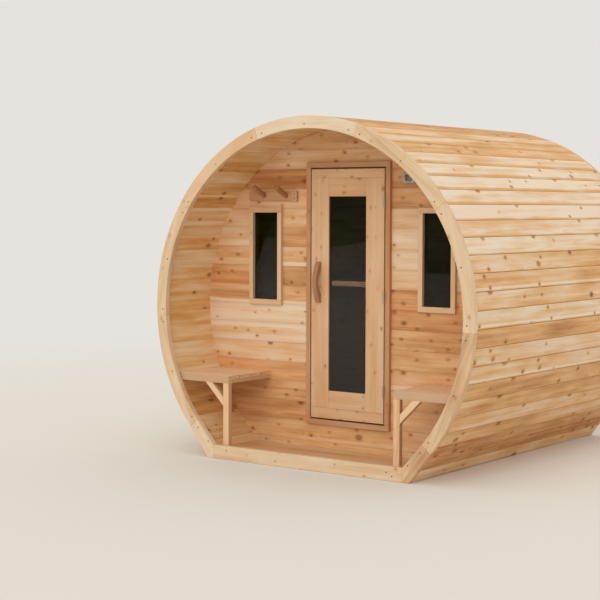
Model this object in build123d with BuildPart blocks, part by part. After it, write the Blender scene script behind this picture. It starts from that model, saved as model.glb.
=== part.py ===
from build123d import *
from math import asin, cos, degrees, hypot, radians, sin, sqrt
import os

# Barrel sauna, in millimetres. The origin is on the ground under the middle of the barrel.
# +Z is up, the porch faces -Y, and +X is to the right of someone who looks at the door.

os.makedirs("parts", exist_ok=True)

# Hull: flat staves round a circle that the ground cuts off; the lowest of each side run straight
hull_radius = 1220.0
ground_cut = 238.0
stave_thickness = 48.0
stave_length = 2380.0
staves_per_side = 28
straight_staves = 3
hull_panels = 8
seam_width = 7.0
seam_depth = 4.0

# Rings of flat arc segments over the staves' ends, with a short foot at each side
ring_width = 79.0
ring_thickness = 38.0
ring_arcs = 7
foot_arc = 13.05
foot_toe = 48.0
sill_height = 89.0

# Floor: boards on joists that lie flat on the ground
joist_width = 89.0
joist_height = 38.0
joist_clearance = 13.0
joist_count = 5
floor_thickness = 19.0
hull_clearance = 3.0

# Walls between porch and room, and at the back
porch_depth = 495.0
wall_over_casing = 226.0
wall_thickness = 38.0
back_recess = 78.0

# Door frame
frame_width = 34.0
frame_proud = 24.0
frame_sill_bottom = 213.0
frame_sill_height = 34.0
stop_width = 20.0
stop_depth = 17.0

# Door leaf
leaf_width = 570.0
leaf_thickness = 38.0
leaf_gap = 8.0
leaf_end_gap = 10.0
stile_width = 139.0
top_band = 58.0
bottom_band = 69.0
top_rail = 119.0
bottom_rail = 115.0
glass_thickness = 6.0
glass_setback = 12.0

# Door handle: a bow of wood
handle_centre_from_edge = 61.0
handle_bottom = 1014.0
handle_length = 268.0
handle_width = 38.0
handle_reach = 56.0
handle_end_depth = 14.0
handle_foot = 62.0
handle_finger_gap = 30.0
handle_rounding = 7.0
handle_easing = 4.0

# Butt hinges in the gap between leaf and jamb
hinge_length = 76.0
hinge_plate = 1.8
hinge_plate_depth = 30.0
hinge_barrel_radius = 6.0
hinge_pin_radius = 3.0
hinge_pin_clearance = 0.05
hinge_knuckle_gap = 0.5
hinge_axis_proud = 8.0
hinge_from_ends = 210.0

# Fixed windows
window_centre_x = 672.0
window_below_casing_top = 292.0
window_width = 271.0
window_height = 651.0
window_side_trim = 33.0
window_end_trim = 35.0
window_trim_thickness = 24.0
window_sleeve = 16.0
window_sleeve_lap = 17.0

# Porch benches
bench_inner_x = 638.0
bench_top = 540.0
bench_front_setback = 7.0
slat_thickness = 22.0
slat_gap = 5.0
bench_slats = 4
rail_depth = 38.0
rail_height = 28.0
leg_width = 46.0
leg_depth = 34.0
brace_foot_drop = 148.0
brace_width = 40.0

# Raised bench across the back of the room
inner_bench_top = 1087.0
inner_bench_depth = 600.0
inner_bench_slats = 5
inner_bench_cleats = 3
inner_slat_thickness = 20.0
inner_rail_height = 20.0

# Robe rail above the left window
robe_end_gap = 77.0
robe_from_casing = 83.0
robe_over_window = 37.0
robe_height = 70.0
robe_thickness = 20.0
peg_length = 135.0
peg_root_radius = 15.0
peg_tip_radius = 18.0
peg_tip_rounding = 5.0
peg_rise = 27.0
peg_from_end = 88.0
peg_spacing = 183.0
peg_count = 2

# Vent above the right window
vent_from_casing = 99.0
vent_below_casing_top = 140.0
vent_width = 80.0
vent_height = 70.0
vent_depth = 28.0
vent_wall = 16.0
vent_back = 5.0
vent_louvres = 3
vent_louvre_thickness = 3.0

# Places along the barrel, from the front ring's face to the back ring's
hull_front = -stave_length / 2
hull_back = stave_length / 2
ring_front = hull_front - ring_thickness
ring_back = hull_back + ring_thickness
wall_face = ring_front + porch_depth
wall_inside = wall_face + wall_thickness
frame_face = wall_face - frame_proud
back_wall_face = hull_back - back_recess + ring_thickness
back_wall_inside = back_wall_face - wall_thickness
floor_top = joist_height + floor_thickness

# Round sizes that follow from the hull
centre_height = hull_radius - ground_cut
core_radius = hull_radius - stave_thickness
ring_inner_radius = hull_radius - ring_width
ground_angle = degrees(asin(centre_height / hull_radius))
seam_pitch = (90 + ground_angle) / staves_per_side
ring_joint = foot_arc - ground_angle
ring_arc_angle = (180 - 2 * ring_joint) / ring_arcs

# The staves leave the circle at its last round seam and run down its tangent to the ground
last_round_seam = staves_per_side - straight_staves
tangent_angle = radians(90 - last_round_seam * seam_pitch)
tangent_height = centre_height + hull_radius * sin(tangent_angle)
straight_length = tangent_height / cos(tangent_angle)
foot_half_width = hull_radius * cos(tangent_angle) + straight_length * sin(tangent_angle)
sill_half_length = foot_half_width - foot_toe


def upright(y):
    """Plane across the barrel at y: its own x and y run along X and Z, and it faces the front."""
    return Plane.XZ.offset(-y)


def on_hull(radius, seam):
    """Point at a seam, counted from the top, right positive, at a distance from the hull's axis."""
    side = 1 if seam >= 0 else -1
    turn = radians(90 - min(abs(seam), last_round_seam) * seam_pitch)
    straight = max(abs(seam) - last_round_seam, 0) / straight_staves * straight_length
    across = radius * cos(turn) + straight * sin(turn)
    return side * across, centre_height + radius * sin(turn) - straight * cos(turn)


def along(start, end, distance):
    """Point at a distance from start on the line to end."""
    share = distance / hypot(end[0] - start[0], end[1] - start[1])
    return start[0] + share * (end[0] - start[0]), start[1] + share * (end[1] - start[1])


def at_height(upper, lower, height):
    """Point at a height on the line through two points."""
    share = (upper[1] - height) / (upper[1] - lower[1])
    return upper[0] + share * (lower[0] - upper[0]), height


def core_corner(seam):
    """Corner of the staves' inner faces, which run on down to the ground at the feet."""
    if abs(seam) < staves_per_side:
        return on_hull(core_radius, seam)
    side = 1 if seam > 0 else -1
    return at_height(on_hull(core_radius, seam - side), on_hull(core_radius, seam), 0)


def core_half_width(height):
    """Half the clear width between the staves' inner faces at a height."""
    for seam in range(staves_per_side):
        upper = core_corner(seam)
        lower = core_corner(seam + 1)
        if lower[1] <= height <= upper[1]:
            return at_height(upper, lower, height)[0]
    raise ValueError("no stave at this height")


def panel_outline(first, last):
    """Section of the staves between two seams, with a V groove along each outer seam."""
    outer = []
    for seam in range(first, last + 1):
        corner = on_hull(hull_radius, seam)
        if abs(seam) == staves_per_side:
            outer.append(corner)
            continue
        if seam > first:
            outer.append(along(corner, on_hull(hull_radius, seam - 1), seam_width / 2))
        outer.append(on_hull(hull_radius - seam_depth, seam))
        if seam < last:
            outer.append(along(corner, on_hull(hull_radius, seam + 1), seam_width / 2))
    return outer + [core_corner(seam) for seam in range(last, first - 1, -1)]


def core_outline():
    """Section of the clear space inside the staves, down to the ground."""
    return [core_corner(seam) for seam in range(-staves_per_side, staves_per_side + 1)]


def area(left, right, bottom, top, mode=Mode.ADD):
    """Rectangle between four edges, in the sketch that is being drawn."""
    with Locations(((left + right) / 2, (bottom + top) / 2)):
        Rectangle(right - left, top - bottom, mode=mode)


def block(x_range, y_range, z_range, mode=Mode.ADD):
    """Box between its lowest and highest corners, in the part that is being made."""
    middle = [(low + high) / 2 for low, high in (x_range, y_range, z_range)]
    with Locations(tuple(middle)):
        Box(x_range[1] - x_range[0], y_range[1] - y_range[0], z_range[1] - z_range[0], mode=mode)


# Hull panels, from the left foot over the top to the right foot
panel_seams = [
    round((2 * number / hull_panels - 1) * staves_per_side) for number in range(hull_panels + 1)
]
for number in range(hull_panels):
    with BuildPart() as hull_panel:
        with BuildSketch(upright(hull_back)):
            with BuildLine():
                Polyline(*panel_outline(panel_seams[number], panel_seams[number + 1]), close=True)
            make_face()
        extrude(amount=stave_length)
    hull_panel.part.label = f"hull_panel_{number + 1}"
    export_step(hull_panel.part, f"parts/hull_panel_{number + 1}.step")


def arc_segment(start, size):
    """Flat arc of the ring's width, drawn from an angle in degrees over a size in degrees."""
    centre = (0, centre_height)
    with BuildLine() as outline:
        outer = CenterArc(centre, hull_radius, start, size)
        inner = CenterArc(centre, ring_inner_radius, start, size)
        Line(outer @ 0, inner @ 0)
        Line(outer @ 1, inner @ 1)
    make_face(outline.line)


def ring_foot(side):
    """Ring's foot: straight from the last joint to the ground, cut off by the sill's end."""
    turn = radians(ring_joint)
    with BuildLine() as outline:
        Polyline(
            (side * hull_radius * cos(turn), centre_height + hull_radius * sin(turn)),
            (side * foot_half_width, 0),
            (side * sill_half_length, 0),
            (side * sill_half_length, sill_height),
            (side * ring_inner_radius * cos(turn), centre_height + ring_inner_radius * sin(turn)),
            close=True,
        )
    make_face(outline.line)


# Rings at both ends: the arcs are numbered over the top, and every other one shares a node
for end, outside in (("front", ring_front + ring_thickness), ("back", ring_back)):
    with BuildPart() as odd_arcs:
        with BuildSketch(upright(outside)):
            for number in range(0, ring_arcs, 2):
                arc_segment(ring_joint + number * ring_arc_angle, ring_arc_angle)
        extrude(amount=ring_thickness)
    odd_arcs.part.label = f"{end}_ring_odd_arcs"
    export_step(odd_arcs.part, f"parts/{end}_ring_odd_arcs.step")

    with BuildPart() as even_arcs:
        with BuildSketch(upright(outside)):
            for number in range(1, ring_arcs, 2):
                arc_segment(ring_joint + number * ring_arc_angle, ring_arc_angle)
            ring_foot(1)
            ring_foot(-1)
        extrude(amount=ring_thickness)
    even_arcs.part.label = f"{end}_ring_even_arcs"
    export_step(even_arcs.part, f"parts/{end}_ring_even_arcs.step")

    with BuildPart() as sill:
        block(
            (-sill_half_length, sill_half_length),
            (outside - ring_thickness, outside),
            (0, sill_height),
        )
    sill.part.label = f"{end}_sill"
    export_step(sill.part, f"parts/{end}_sill.step")

# Joists flat on the ground, from ring to ring
joist_reach = core_half_width(0) - joist_clearance - joist_width / 2
joist_spacing = 2 * joist_reach / (joist_count - 1)
with BuildPart() as floor_joists:
    with Locations((0, 0, joist_height / 2)):
        with GridLocations(joist_spacing, 0, joist_count, 1):
            Box(joist_width, stave_length, joist_height)
floor_joists.part.label = "floor_joists"
export_step(floor_joists.part, "parts/floor_joists.step")

# Floors of the porch and of the room, cut to the staves
floor_low = core_half_width(joist_height) - hull_clearance
floor_high = core_half_width(floor_top) - hull_clearance
for name, start, end in (
    ("porch_floor", hull_front, wall_face),
    ("room_floor", wall_inside, back_wall_inside),
):
    with BuildPart() as floor:
        with BuildSketch(upright(end)):
            with BuildLine():
                Polyline(
                    (-floor_low, joist_height),
                    (floor_low, joist_height),
                    (floor_high, floor_top),
                    (-floor_high, floor_top),
                    close=True,
                )
            make_face()
        extrude(amount=end - start)
    floor.part.label = name
    export_step(floor.part, f"parts/{name}.step")

# Door frame's outer edges and opening, and the leaf in it
casing_top = centre_height + core_radius - wall_over_casing
frame_top = casing_top - frame_width
frame_bottom = frame_sill_bottom + frame_sill_height
leaf_top = frame_top - leaf_end_gap
leaf_bottom = frame_bottom + leaf_end_gap
leaf_left = -leaf_width / 2
leaf_right = leaf_width / 2
frame_left = leaf_left - leaf_gap
frame_right = leaf_right + leaf_gap
casing_half = frame_right + frame_width

# Front wall: beside, over and below the doorway, standing on the joists
barrel_top = centre_height + hull_radius
with BuildPart() as wall_over_door:
    with BuildSketch(upright(wall_inside)):
        Polygon(*core_outline(), align=None)
        area(-casing_half, casing_half, casing_top, barrel_top, mode=Mode.INTERSECT)
    extrude(amount=wall_thickness)
wall_over_door.part.label = "front_wall_over_door"
export_step(wall_over_door.part, "parts/front_wall_over_door.step")

with BuildPart() as wall_below_door:
    block((-casing_half, casing_half), (wall_face, wall_inside), (joist_height, frame_sill_bottom))
wall_below_door.part.label = "front_wall_below_door"
export_step(wall_below_door.part, "parts/front_wall_below_door.step")

window_top = casing_top - window_below_casing_top
window_bottom = window_top - window_height
for name, side in (("left", -1), ("right", 1)):
    window_x = side * window_centre_x
    sleeve_left = window_x - window_width / 2 + window_sleeve_lap
    sleeve_right = window_x + window_width / 2 - window_sleeve_lap
    sleeve_bottom = window_bottom + window_sleeve_lap
    sleeve_top = window_top - window_sleeve_lap
    pane_left = sleeve_left + window_sleeve
    pane_right = sleeve_right - window_sleeve
    pane_bottom = sleeve_bottom + window_sleeve / 2
    pane_top = sleeve_top - window_sleeve / 2

    with BuildPart() as wall_half:
        with BuildSketch(upright(wall_inside)):
            Polygon(*core_outline(), align=None)
            near, far = sorted((side * casing_half, side * hull_radius))
            area(near, far, joist_height, barrel_top, mode=Mode.INTERSECT)
            area(sleeve_left, sleeve_right, sleeve_bottom, sleeve_top, mode=Mode.SUBTRACT)
        extrude(amount=wall_thickness)
    wall_half.part.label = f"front_wall_{name}"
    export_step(wall_half.part, f"parts/front_wall_{name}.step")

    # Window frame: a sleeve through the wall and a proud trim that holds the pane
    with BuildPart() as window_frame:
        with BuildSketch(upright(wall_inside)):
            area(sleeve_left, sleeve_right, sleeve_bottom, sleeve_top)
            area(pane_left, pane_right, pane_bottom, pane_top, mode=Mode.SUBTRACT)
        extrude(amount=wall_thickness)
        with BuildSketch(upright(wall_face)):
            area(
                window_x - window_width / 2,
                window_x + window_width / 2,
                window_bottom,
                window_top,
            )
            area(
                window_x - window_width / 2 + window_side_trim,
                window_x + window_width / 2 - window_side_trim,
                window_bottom + window_end_trim,
                window_top - window_end_trim,
                mode=Mode.SUBTRACT,
            )
        extrude(amount=window_trim_thickness)
    window_frame.part.label = f"{name}_window_frame"
    export_step(window_frame.part, f"parts/{name}_window_frame.step")

    with BuildPart() as window_glass:
        block(
            (pane_left, pane_right),
            (wall_face, wall_face + glass_thickness),
            (pane_bottom, pane_top),
        )
    window_glass.part.label = f"{name}_window_glass"
    export_step(window_glass.part, f"parts/{name}_window_glass.step")

# Back wall
with BuildPart() as back_wall:
    with BuildSketch(upright(back_wall_face)):
        Polygon(*core_outline(), align=None)
        area(-hull_radius, hull_radius, joist_height, barrel_top, mode=Mode.INTERSECT)
    extrude(amount=wall_thickness)
back_wall.part.label = "back_wall"
export_step(back_wall.part, "parts/back_wall.step")

# Door frame: jambs, head and sill through the wall, with a stop behind the leaf
stop_face = wall_inside - stop_depth
with BuildPart() as door_sill:
    block((-casing_half, casing_half), (frame_face, wall_inside), (frame_sill_bottom, frame_bottom))
    block((frame_left, frame_right), (stop_face, wall_inside), (frame_bottom, frame_bottom + stop_width))
door_sill.part.label = "door_sill"
export_step(door_sill.part, "parts/door_sill.step")

with BuildPart() as door_head:
    block((-casing_half, casing_half), (frame_face, wall_inside), (frame_top, casing_top))
    block((frame_left, frame_right), (stop_face, wall_inside), (frame_top - stop_width, frame_top))
door_head.part.label = "door_head"
export_step(door_head.part, "parts/door_head.step")

for name, side in (("left", -1), ("right", 1)):
    with BuildPart() as door_jamb:
        near, far = sorted((side * frame_right, side * casing_half))
        block((near, far), (frame_face, wall_inside), (frame_bottom, frame_top))
        near, far = sorted((side * (frame_right - stop_width), side * frame_right))
        block((near, far), (stop_face, wall_inside), (frame_bottom + stop_width, frame_top - stop_width))
    door_jamb.part.label = f"door_jamb_{name}"
    export_step(door_jamb.part, f"parts/door_jamb_{name}.step")

# Door leaf: bands across the ends, stiles between them, rails over and under the glass
leaf_back = frame_face + leaf_thickness
stile_bottom = leaf_bottom + bottom_band
stile_top = leaf_top - top_band
pane_left = leaf_left + stile_width
pane_right = leaf_right - stile_width
pane_bottom = stile_bottom + bottom_rail
pane_top = stile_top - top_rail
leaf_depth = (frame_face, leaf_back)

with BuildPart() as door_bands:
    block((leaf_left, leaf_right), leaf_depth, (leaf_bottom, stile_bottom))
    block((leaf_left, leaf_right), leaf_depth, (stile_top, leaf_top))
door_bands.part.label = "door_bands"
export_step(door_bands.part, "parts/door_bands.step")

with BuildPart() as door_stiles:
    block((leaf_left, pane_left), leaf_depth, (stile_bottom, stile_top))
    block((pane_right, leaf_right), leaf_depth, (stile_bottom, stile_top))
door_stiles.part.label = "door_stiles"
export_step(door_stiles.part, "parts/door_stiles.step")

with BuildPart() as door_rails:
    block((pane_left, pane_right), leaf_depth, (stile_bottom, pane_bottom))
    block((pane_left, pane_right), leaf_depth, (pane_top, stile_top))
door_rails.part.label = "door_rails"
export_step(door_rails.part, "parts/door_rails.step")

with BuildPart() as door_glass:
    glass_face = frame_face + glass_setback
    block((pane_left, pane_right), (glass_face, glass_face + glass_thickness), (pane_bottom, pane_top))
door_glass.part.label = "door_glass"
export_step(door_glass.part, "parts/door_glass.step")

# Handle: the outside and the finger gap are arcs over the height, seen from the side
handle_x = leaf_left + handle_centre_from_edge
handle_middle = handle_bottom + handle_length / 2
handle_top = handle_bottom + handle_length
with BuildPart() as door_handle:
    with BuildSketch(Plane.YZ.offset(handle_x - handle_width / 2)):
        with BuildLine():
            ThreePointArc(
                (frame_face - handle_end_depth, handle_bottom),
                (frame_face - handle_reach, handle_middle),
                (frame_face - handle_end_depth, handle_top),
            )
            Line((frame_face - handle_end_depth, handle_bottom), (frame_face, handle_bottom))
            Line((frame_face - handle_end_depth, handle_top), (frame_face, handle_top))
            ThreePointArc(
                (frame_face, handle_top - handle_foot),
                (frame_face - handle_finger_gap, handle_middle),
                (frame_face, handle_bottom + handle_foot),
            )
            Line((frame_face, handle_top), (frame_face, handle_top - handle_foot))
            Line((frame_face, handle_bottom), (frame_face, handle_bottom + handle_foot))
        make_face()
    extrude(amount=handle_width)
    arcs = door_handle.faces().filter_by(Axis.X).edges().filter_by(GeomType.CIRCLE).sort_by(Edge.length)
    chamfer(arcs[:2], handle_easing)
    arcs = door_handle.faces().filter_by(Axis.X).edges().filter_by(GeomType.CIRCLE).sort_by(Edge.length)
    fillet(arcs[-2:], handle_rounding)
door_handle.part.label = "door_handle"
export_step(door_handle.part, "parts/door_handle.step")

# Hinges: plates in the gap, knuckles round a pin that stands proud of the door's face
hinge_x = leaf_right + leaf_gap / 2
hinge_y = frame_face - hinge_axis_proud
hinge_middles = (
    leaf_bottom + hinge_from_ends,
    (leaf_bottom + leaf_top) / 2,
    leaf_top - hinge_from_ends,
)
knuckle_length = (hinge_length - 2 * hinge_knuckle_gap) / 3
plate_back = frame_face + hinge_plate_depth

with BuildPart() as leaf_hinges:
    for middle in hinge_middles:
        low = middle - knuckle_length / 2
        high = middle + knuckle_length / 2
        with Locations((hinge_x, hinge_y, middle)):
            Cylinder(hinge_barrel_radius, knuckle_length)
        block((leaf_right, leaf_right + hinge_plate), (hinge_y, plate_back), (low, high))
        with Locations((hinge_x, hinge_y, middle)):
            Cylinder(hinge_pin_radius + hinge_pin_clearance, knuckle_length, mode=Mode.SUBTRACT)
leaf_hinges.part.label = "leaf_hinges"
export_step(leaf_hinges.part, "parts/leaf_hinges.step")

with BuildPart() as jamb_hinges:
    for middle in hinge_middles:
        low = middle - hinge_length / 2
        high = middle + hinge_length / 2
        for knuckle_low in (low, high - knuckle_length):
            with Locations((hinge_x, hinge_y, knuckle_low + knuckle_length / 2)):
                Cylinder(hinge_barrel_radius, knuckle_length)
            block(
                (frame_right - hinge_plate, frame_right),
                (hinge_y, plate_back),
                (knuckle_low, knuckle_low + knuckle_length),
            )
        with Locations((hinge_x, hinge_y, middle)):
            Cylinder(hinge_pin_radius, hinge_length)
jamb_hinges.part.label = "jamb_hinges"
export_step(jamb_hinges.part, "parts/jamb_hinges.step")

# Porch benches: slats on rails, with a leg and a brace under the front inner corner
bench_front = hull_front + bench_front_setback
slat_bottom = bench_top - slat_thickness
rail_bottom = slat_bottom - rail_height
slat_width = (wall_face - bench_front - (bench_slats - 1) * slat_gap) / bench_slats


def board_across(start, end, depth, bottom, top, side):
    """Board along X from its inner end to the staves, its outer end cut to their slope."""
    low_end = core_half_width(bottom) - hull_clearance
    high_end = core_half_width(top) - hull_clearance
    with BuildSketch(upright(end)) as section:
        with BuildLine():
            Polyline(
                (side * start, bottom),
                (side * low_end, bottom),
                (side * high_end, top),
                (side * start, top),
                close=True,
            )
        make_face()
    extrude(section.sketch, amount=depth)


for name, side in (("left", -1), ("right", 1)):
    with BuildPart() as bench_seat:
        for number in range(bench_slats):
            slat_back = bench_front + slat_width + number * (slat_width + slat_gap)
            board_across(bench_inner_x, slat_back, slat_width, slat_bottom, bench_top, side)
    bench_seat.part.label = f"{name}_bench_seat"
    export_step(bench_seat.part, f"parts/{name}_bench_seat.step")

    with BuildPart() as bench_frame:
        rail_front_back = bench_front + rail_depth
        board_across(bench_inner_x, rail_front_back, rail_depth, rail_bottom, slat_bottom, side)
        board_across(bench_inner_x, wall_face, rail_depth, rail_bottom, slat_bottom, side)
        leg_outer_x = bench_inner_x + leg_width
        near, far = sorted((side * bench_inner_x, side * (bench_inner_x + rail_depth)))
        block((near, far), (rail_front_back, wall_face - rail_depth), (rail_bottom, slat_bottom))
        near, far = sorted((side * bench_inner_x, side * leg_outer_x))
        block((near, far), (bench_front, bench_front + leg_depth), (floor_top, rail_bottom))
        brace_cut = brace_width * sqrt(2)
        with BuildSketch(upright(bench_front + leg_depth)):
            with BuildLine():
                Polyline(
                    (side * leg_outer_x, rail_bottom - brace_foot_drop),
                    (side * (leg_outer_x + brace_foot_drop), rail_bottom),
                    (side * (leg_outer_x + brace_foot_drop - brace_cut), rail_bottom),
                    (side * leg_outer_x, rail_bottom - brace_foot_drop + brace_cut),
                    close=True,
                )
            make_face()
        extrude(amount=leg_depth)
    bench_frame.part.label = f"{name}_bench_frame"
    export_step(bench_frame.part, f"parts/{name}_bench_frame.step")


def board_through(end, depth, bottom, top):
    """Board along X from staves to staves, both ends cut to their slope."""
    low_end = core_half_width(bottom) - hull_clearance
    high_end = core_half_width(top) - hull_clearance
    with BuildSketch(upright(end)) as section:
        with BuildLine():
            Polyline(
                (-low_end, bottom),
                (low_end, bottom),
                (high_end, top),
                (-high_end, top),
                close=True,
            )
        make_face()
    extrude(section.sketch, amount=depth)


# Raised bench in the room: slats on a front rail, a wall cleat and cross cleats
inner_front = back_wall_inside - inner_bench_depth
inner_slat_bottom = inner_bench_top - inner_slat_thickness
inner_rail_bottom = inner_slat_bottom - inner_rail_height
inner_slats_width = inner_bench_depth - (inner_bench_slats - 1) * slat_gap
inner_slat_width = inner_slats_width / inner_bench_slats
with BuildPart() as inner_bench_seat:
    for number in range(inner_bench_slats):
        slat_back = inner_front + inner_slat_width + number * (inner_slat_width + slat_gap)
        board_through(slat_back, inner_slat_width, inner_slat_bottom, inner_bench_top)
inner_bench_seat.part.label = "inner_bench_seat"
export_step(inner_bench_seat.part, "parts/inner_bench_seat.step")

with BuildPart() as inner_bench_frame:
    board_through(inner_front + rail_depth, rail_depth, inner_rail_bottom, inner_slat_bottom)
    board_through(back_wall_inside, rail_depth, inner_rail_bottom, inner_slat_bottom)
    cleat_length = inner_bench_depth - 2 * rail_depth
    cleat_spacing = core_half_width(inner_rail_bottom) * 2 / (inner_bench_cleats + 1)
    cleat_middle = inner_slat_bottom - inner_rail_height / 2
    with Locations((0, back_wall_inside - inner_bench_depth / 2, cleat_middle)):
        with GridLocations(cleat_spacing, 0, inner_bench_cleats, 1):
            Box(rail_depth, cleat_length, inner_rail_height)
inner_bench_frame.part.label = "inner_bench_frame"
export_step(inner_bench_frame.part, "parts/inner_bench_frame.step")

# Robe rail: a board on the wall with two pegs that lean upwards and swell to their ends
robe_bottom = window_top + robe_over_window
robe_top = robe_bottom + robe_height
robe_left = robe_end_gap - core_half_width(robe_top)
robe_right = -casing_half - robe_from_casing
with BuildPart() as robe_rail:
    block((robe_left, robe_right), (wall_face - robe_thickness, wall_face), (robe_bottom, robe_top))
    for number in range(peg_count):
        peg_root = Plane(
            origin=(
                robe_right - peg_from_end - number * peg_spacing,
                wall_face - robe_thickness / 2,
                robe_bottom + robe_height / 2,
            ),
            x_dir=(1, 0, 0),
            z_dir=(0, -cos(radians(peg_rise)), sin(radians(peg_rise))),
        )
        with Locations(peg_root.location):
            Cone(
                peg_root_radius,
                peg_tip_radius,
                peg_length,
                align=(Align.CENTER, Align.CENTER, Align.MIN),
            )
    tips = robe_rail.edges().filter_by(GeomType.CIRCLE).sort_by(Axis.Y)[:peg_count]
    fillet(tips, peg_tip_rounding)
robe_rail.part.label = "robe_rail"
export_step(robe_rail.part, "parts/robe_rail.step")

# Vent: a shallow square box with louvres
vent_left = casing_half + vent_from_casing
vent_right = vent_left + vent_width
vent_bottom = casing_top - vent_below_casing_top
vent_top = vent_bottom + vent_height
vent_face = wall_face - vent_depth
with BuildPart() as vent:
    block((vent_left, vent_right), (vent_face, wall_face), (vent_bottom, vent_top))
    block(
        (vent_left + vent_wall, vent_right - vent_wall),
        (vent_face, wall_face - vent_back),
        (vent_bottom + vent_wall, vent_top - vent_wall),
        mode=Mode.SUBTRACT,
    )
    louvre_pitch = (vent_height - 2 * vent_wall) / (vent_louvres + 1)
    for number in range(vent_louvres):
        louvre_z = vent_bottom + vent_wall + (number + 1) * louvre_pitch
        block(
            (vent_left + vent_wall, vent_right - vent_wall),
            (vent_face + vent_wall, wall_face - vent_back),
            (louvre_z - vent_louvre_thickness / 2, louvre_z + vent_louvre_thickness / 2),
        )
vent.part.label = "vent"
export_step(vent.part, "parts/vent.step")
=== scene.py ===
"""Barrel sauna: staves, rings, walls, door, benches and fittings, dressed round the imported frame.

All lengths are metres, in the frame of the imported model: +Z is up, the porch faces -Y.
"""
from collections import namedtuple
from itertools import cycle
from math import asin, cos, inf, pi, radians, sin, sqrt

import bpy
import numpy as np
from bpy.props import FloatProperty, FloatVectorProperty, IntProperty, PointerProperty
from mathutils import Matrix, Vector


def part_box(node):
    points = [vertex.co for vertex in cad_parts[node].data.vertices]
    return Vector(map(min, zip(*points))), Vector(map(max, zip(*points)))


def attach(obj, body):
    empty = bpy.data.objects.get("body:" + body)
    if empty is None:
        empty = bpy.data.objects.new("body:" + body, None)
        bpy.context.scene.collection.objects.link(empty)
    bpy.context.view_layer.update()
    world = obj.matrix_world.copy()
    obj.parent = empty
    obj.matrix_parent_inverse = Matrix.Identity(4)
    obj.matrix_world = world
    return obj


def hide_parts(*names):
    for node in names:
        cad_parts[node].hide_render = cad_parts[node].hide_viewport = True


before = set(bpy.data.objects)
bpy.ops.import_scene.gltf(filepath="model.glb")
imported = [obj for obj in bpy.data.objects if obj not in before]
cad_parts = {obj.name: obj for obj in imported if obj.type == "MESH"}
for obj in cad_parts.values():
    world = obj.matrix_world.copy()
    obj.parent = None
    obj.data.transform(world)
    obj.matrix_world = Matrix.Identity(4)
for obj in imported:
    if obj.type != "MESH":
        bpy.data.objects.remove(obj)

bl_info = {
    "name": "Barrel Sauna",
    "version": (1, 0),
    "blender": (4, 5, 0),
    "location": "3D View > Sidebar > Sauna",
    "description": "Staves, boards, door, benches and fittings of a barrel sauna, with a plain stage",
    "category": "Add Mesh",
}

CABIN = "cabin"
DOOR = "door"

# Round sizes of the hull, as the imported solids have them. Turns count from the top towards +X.
HULL_RADIUS = 1.220
CENTRE_HEIGHT = 0.982
CORE_RADIUS = 1.172
RING_INNER_RADIUS = 1.141
STAVES_PER_SIDE = 28
STRAIGHT_STAVES = 3
HULL_PANELS = 8
RING_ARCS = 7
SEAM_PITCH = (pi / 2 + asin(CENTRE_HEIGHT / HULL_RADIUS)) / STAVES_PER_SIDE
LAST_ROUND_SEAM = STAVES_PER_SIDE - STRAIGHT_STAVES
TANGENT_TURN = LAST_ROUND_SEAM * SEAM_PITCH
STRAIGHT_LENGTH = (CENTRE_HEIGHT + HULL_RADIUS * cos(TANGENT_TURN)) / sin(TANGENT_TURN)
RING_JOINT = STAVES_PER_SIDE * SEAM_PITCH - radians(13.05)
RING_ARC = 2 * RING_JOINT / RING_ARCS

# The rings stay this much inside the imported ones, so that their screws stand within them
RING_SHY = 0.0007

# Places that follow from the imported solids' boxes
SILL_LOW, SILL_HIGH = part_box("front_sill")
HULL_FRONT, HULL_BACK = SILL_HIGH.y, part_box("back_sill")[0].y
RING_FRONT, RING_BACK = SILL_LOW.y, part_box("back_sill")[1].y
WALL_FACE, WALL_INSIDE = (corner.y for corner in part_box("front_wall_left"))
BACK_WALL_INSIDE, BACK_WALL_FACE = (corner.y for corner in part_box("back_wall"))
FLOOR_LOW, FLOOR_TOP = (corner.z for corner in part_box("porch_floor"))
BARREL_TOP = CENTRE_HEIGHT + CORE_RADIUS

# From a window trim's lower and upper end to those of the hole in the wall. Wall boards that
# end or start further out than WINDOWS_FROM lie beyond a window.
WINDOW_LAP = np.array([0.017, -0.017])
WINDOWS_FROM = 0.5

# Joists under the floors, and the gaps between a bench's slats and beside the staves
JOISTS = 5
JOIST_WIDTH = 0.089
SLAT_GAP = 0.005
STAVE_GAP = 0.003

# Smooth pieces keep edges that are sharper than this. A board's figure starts up to this far
# along the timber, so that no two boards look the same.
SHARP_EDGE = radians(38)
FIGURE_REACH = 17.0

# Screws stand on a circle in the rings, and at these places across and up in the sills
SCREW_CIRCLE = 1.168
SILL_SCREWS = ((-0.62, 0.059), (-0.22, 0.03), (0.24, 0.06), (0.62, 0.05), (0.66, 0.03))

# Axes along which a board's length, width and thickness run
LEVEL_UPRIGHT, LEVEL_FLAT, STANDING, DEEP_FLAT = [0, 2, 1], [0, 1, 2], [2, 0, 1], [1, 0, 2]

# How dark and how red a board is, from 0 to 1. A + or - after the word gives it a pale band
# along its upper or lower edge, this share of its width.
TONES = {
    "white": (0.10, 0.25), "pale": (0.20, 0.1), "light": (0.30, 0.3),
    "tan": (0.46, 0.3), "pink": (0.42, 0.85), "orange": (0.62, 0.45),
    "red": (0.66, 0.9), "brown": (0.88, 0.5), "amber": (0.78, 0.30),
}
PALE_BAND = 0.20

# Tones of the staves from the top down, on the right and on the left. On the right, the amber at the top is
# partly the wood's own orange and partly painted shade, and the darker tones of the lowest staves are painted
# shade that darkens the hull towards the ground.
RIGHT_STAVES = (
    "amber amber amber orange light tan tan light pale white white white light pale "
    "tan tan- tan pale- orange light light- amber orange tan orange amber brown tan"
).split()
LEFT_STAVES = (
    "orange tan tan tan tan light tan orange light tan red+ light+ light tan light "
    "light light tan light light pale pale light tan orange light tan light"
).split()

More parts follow.
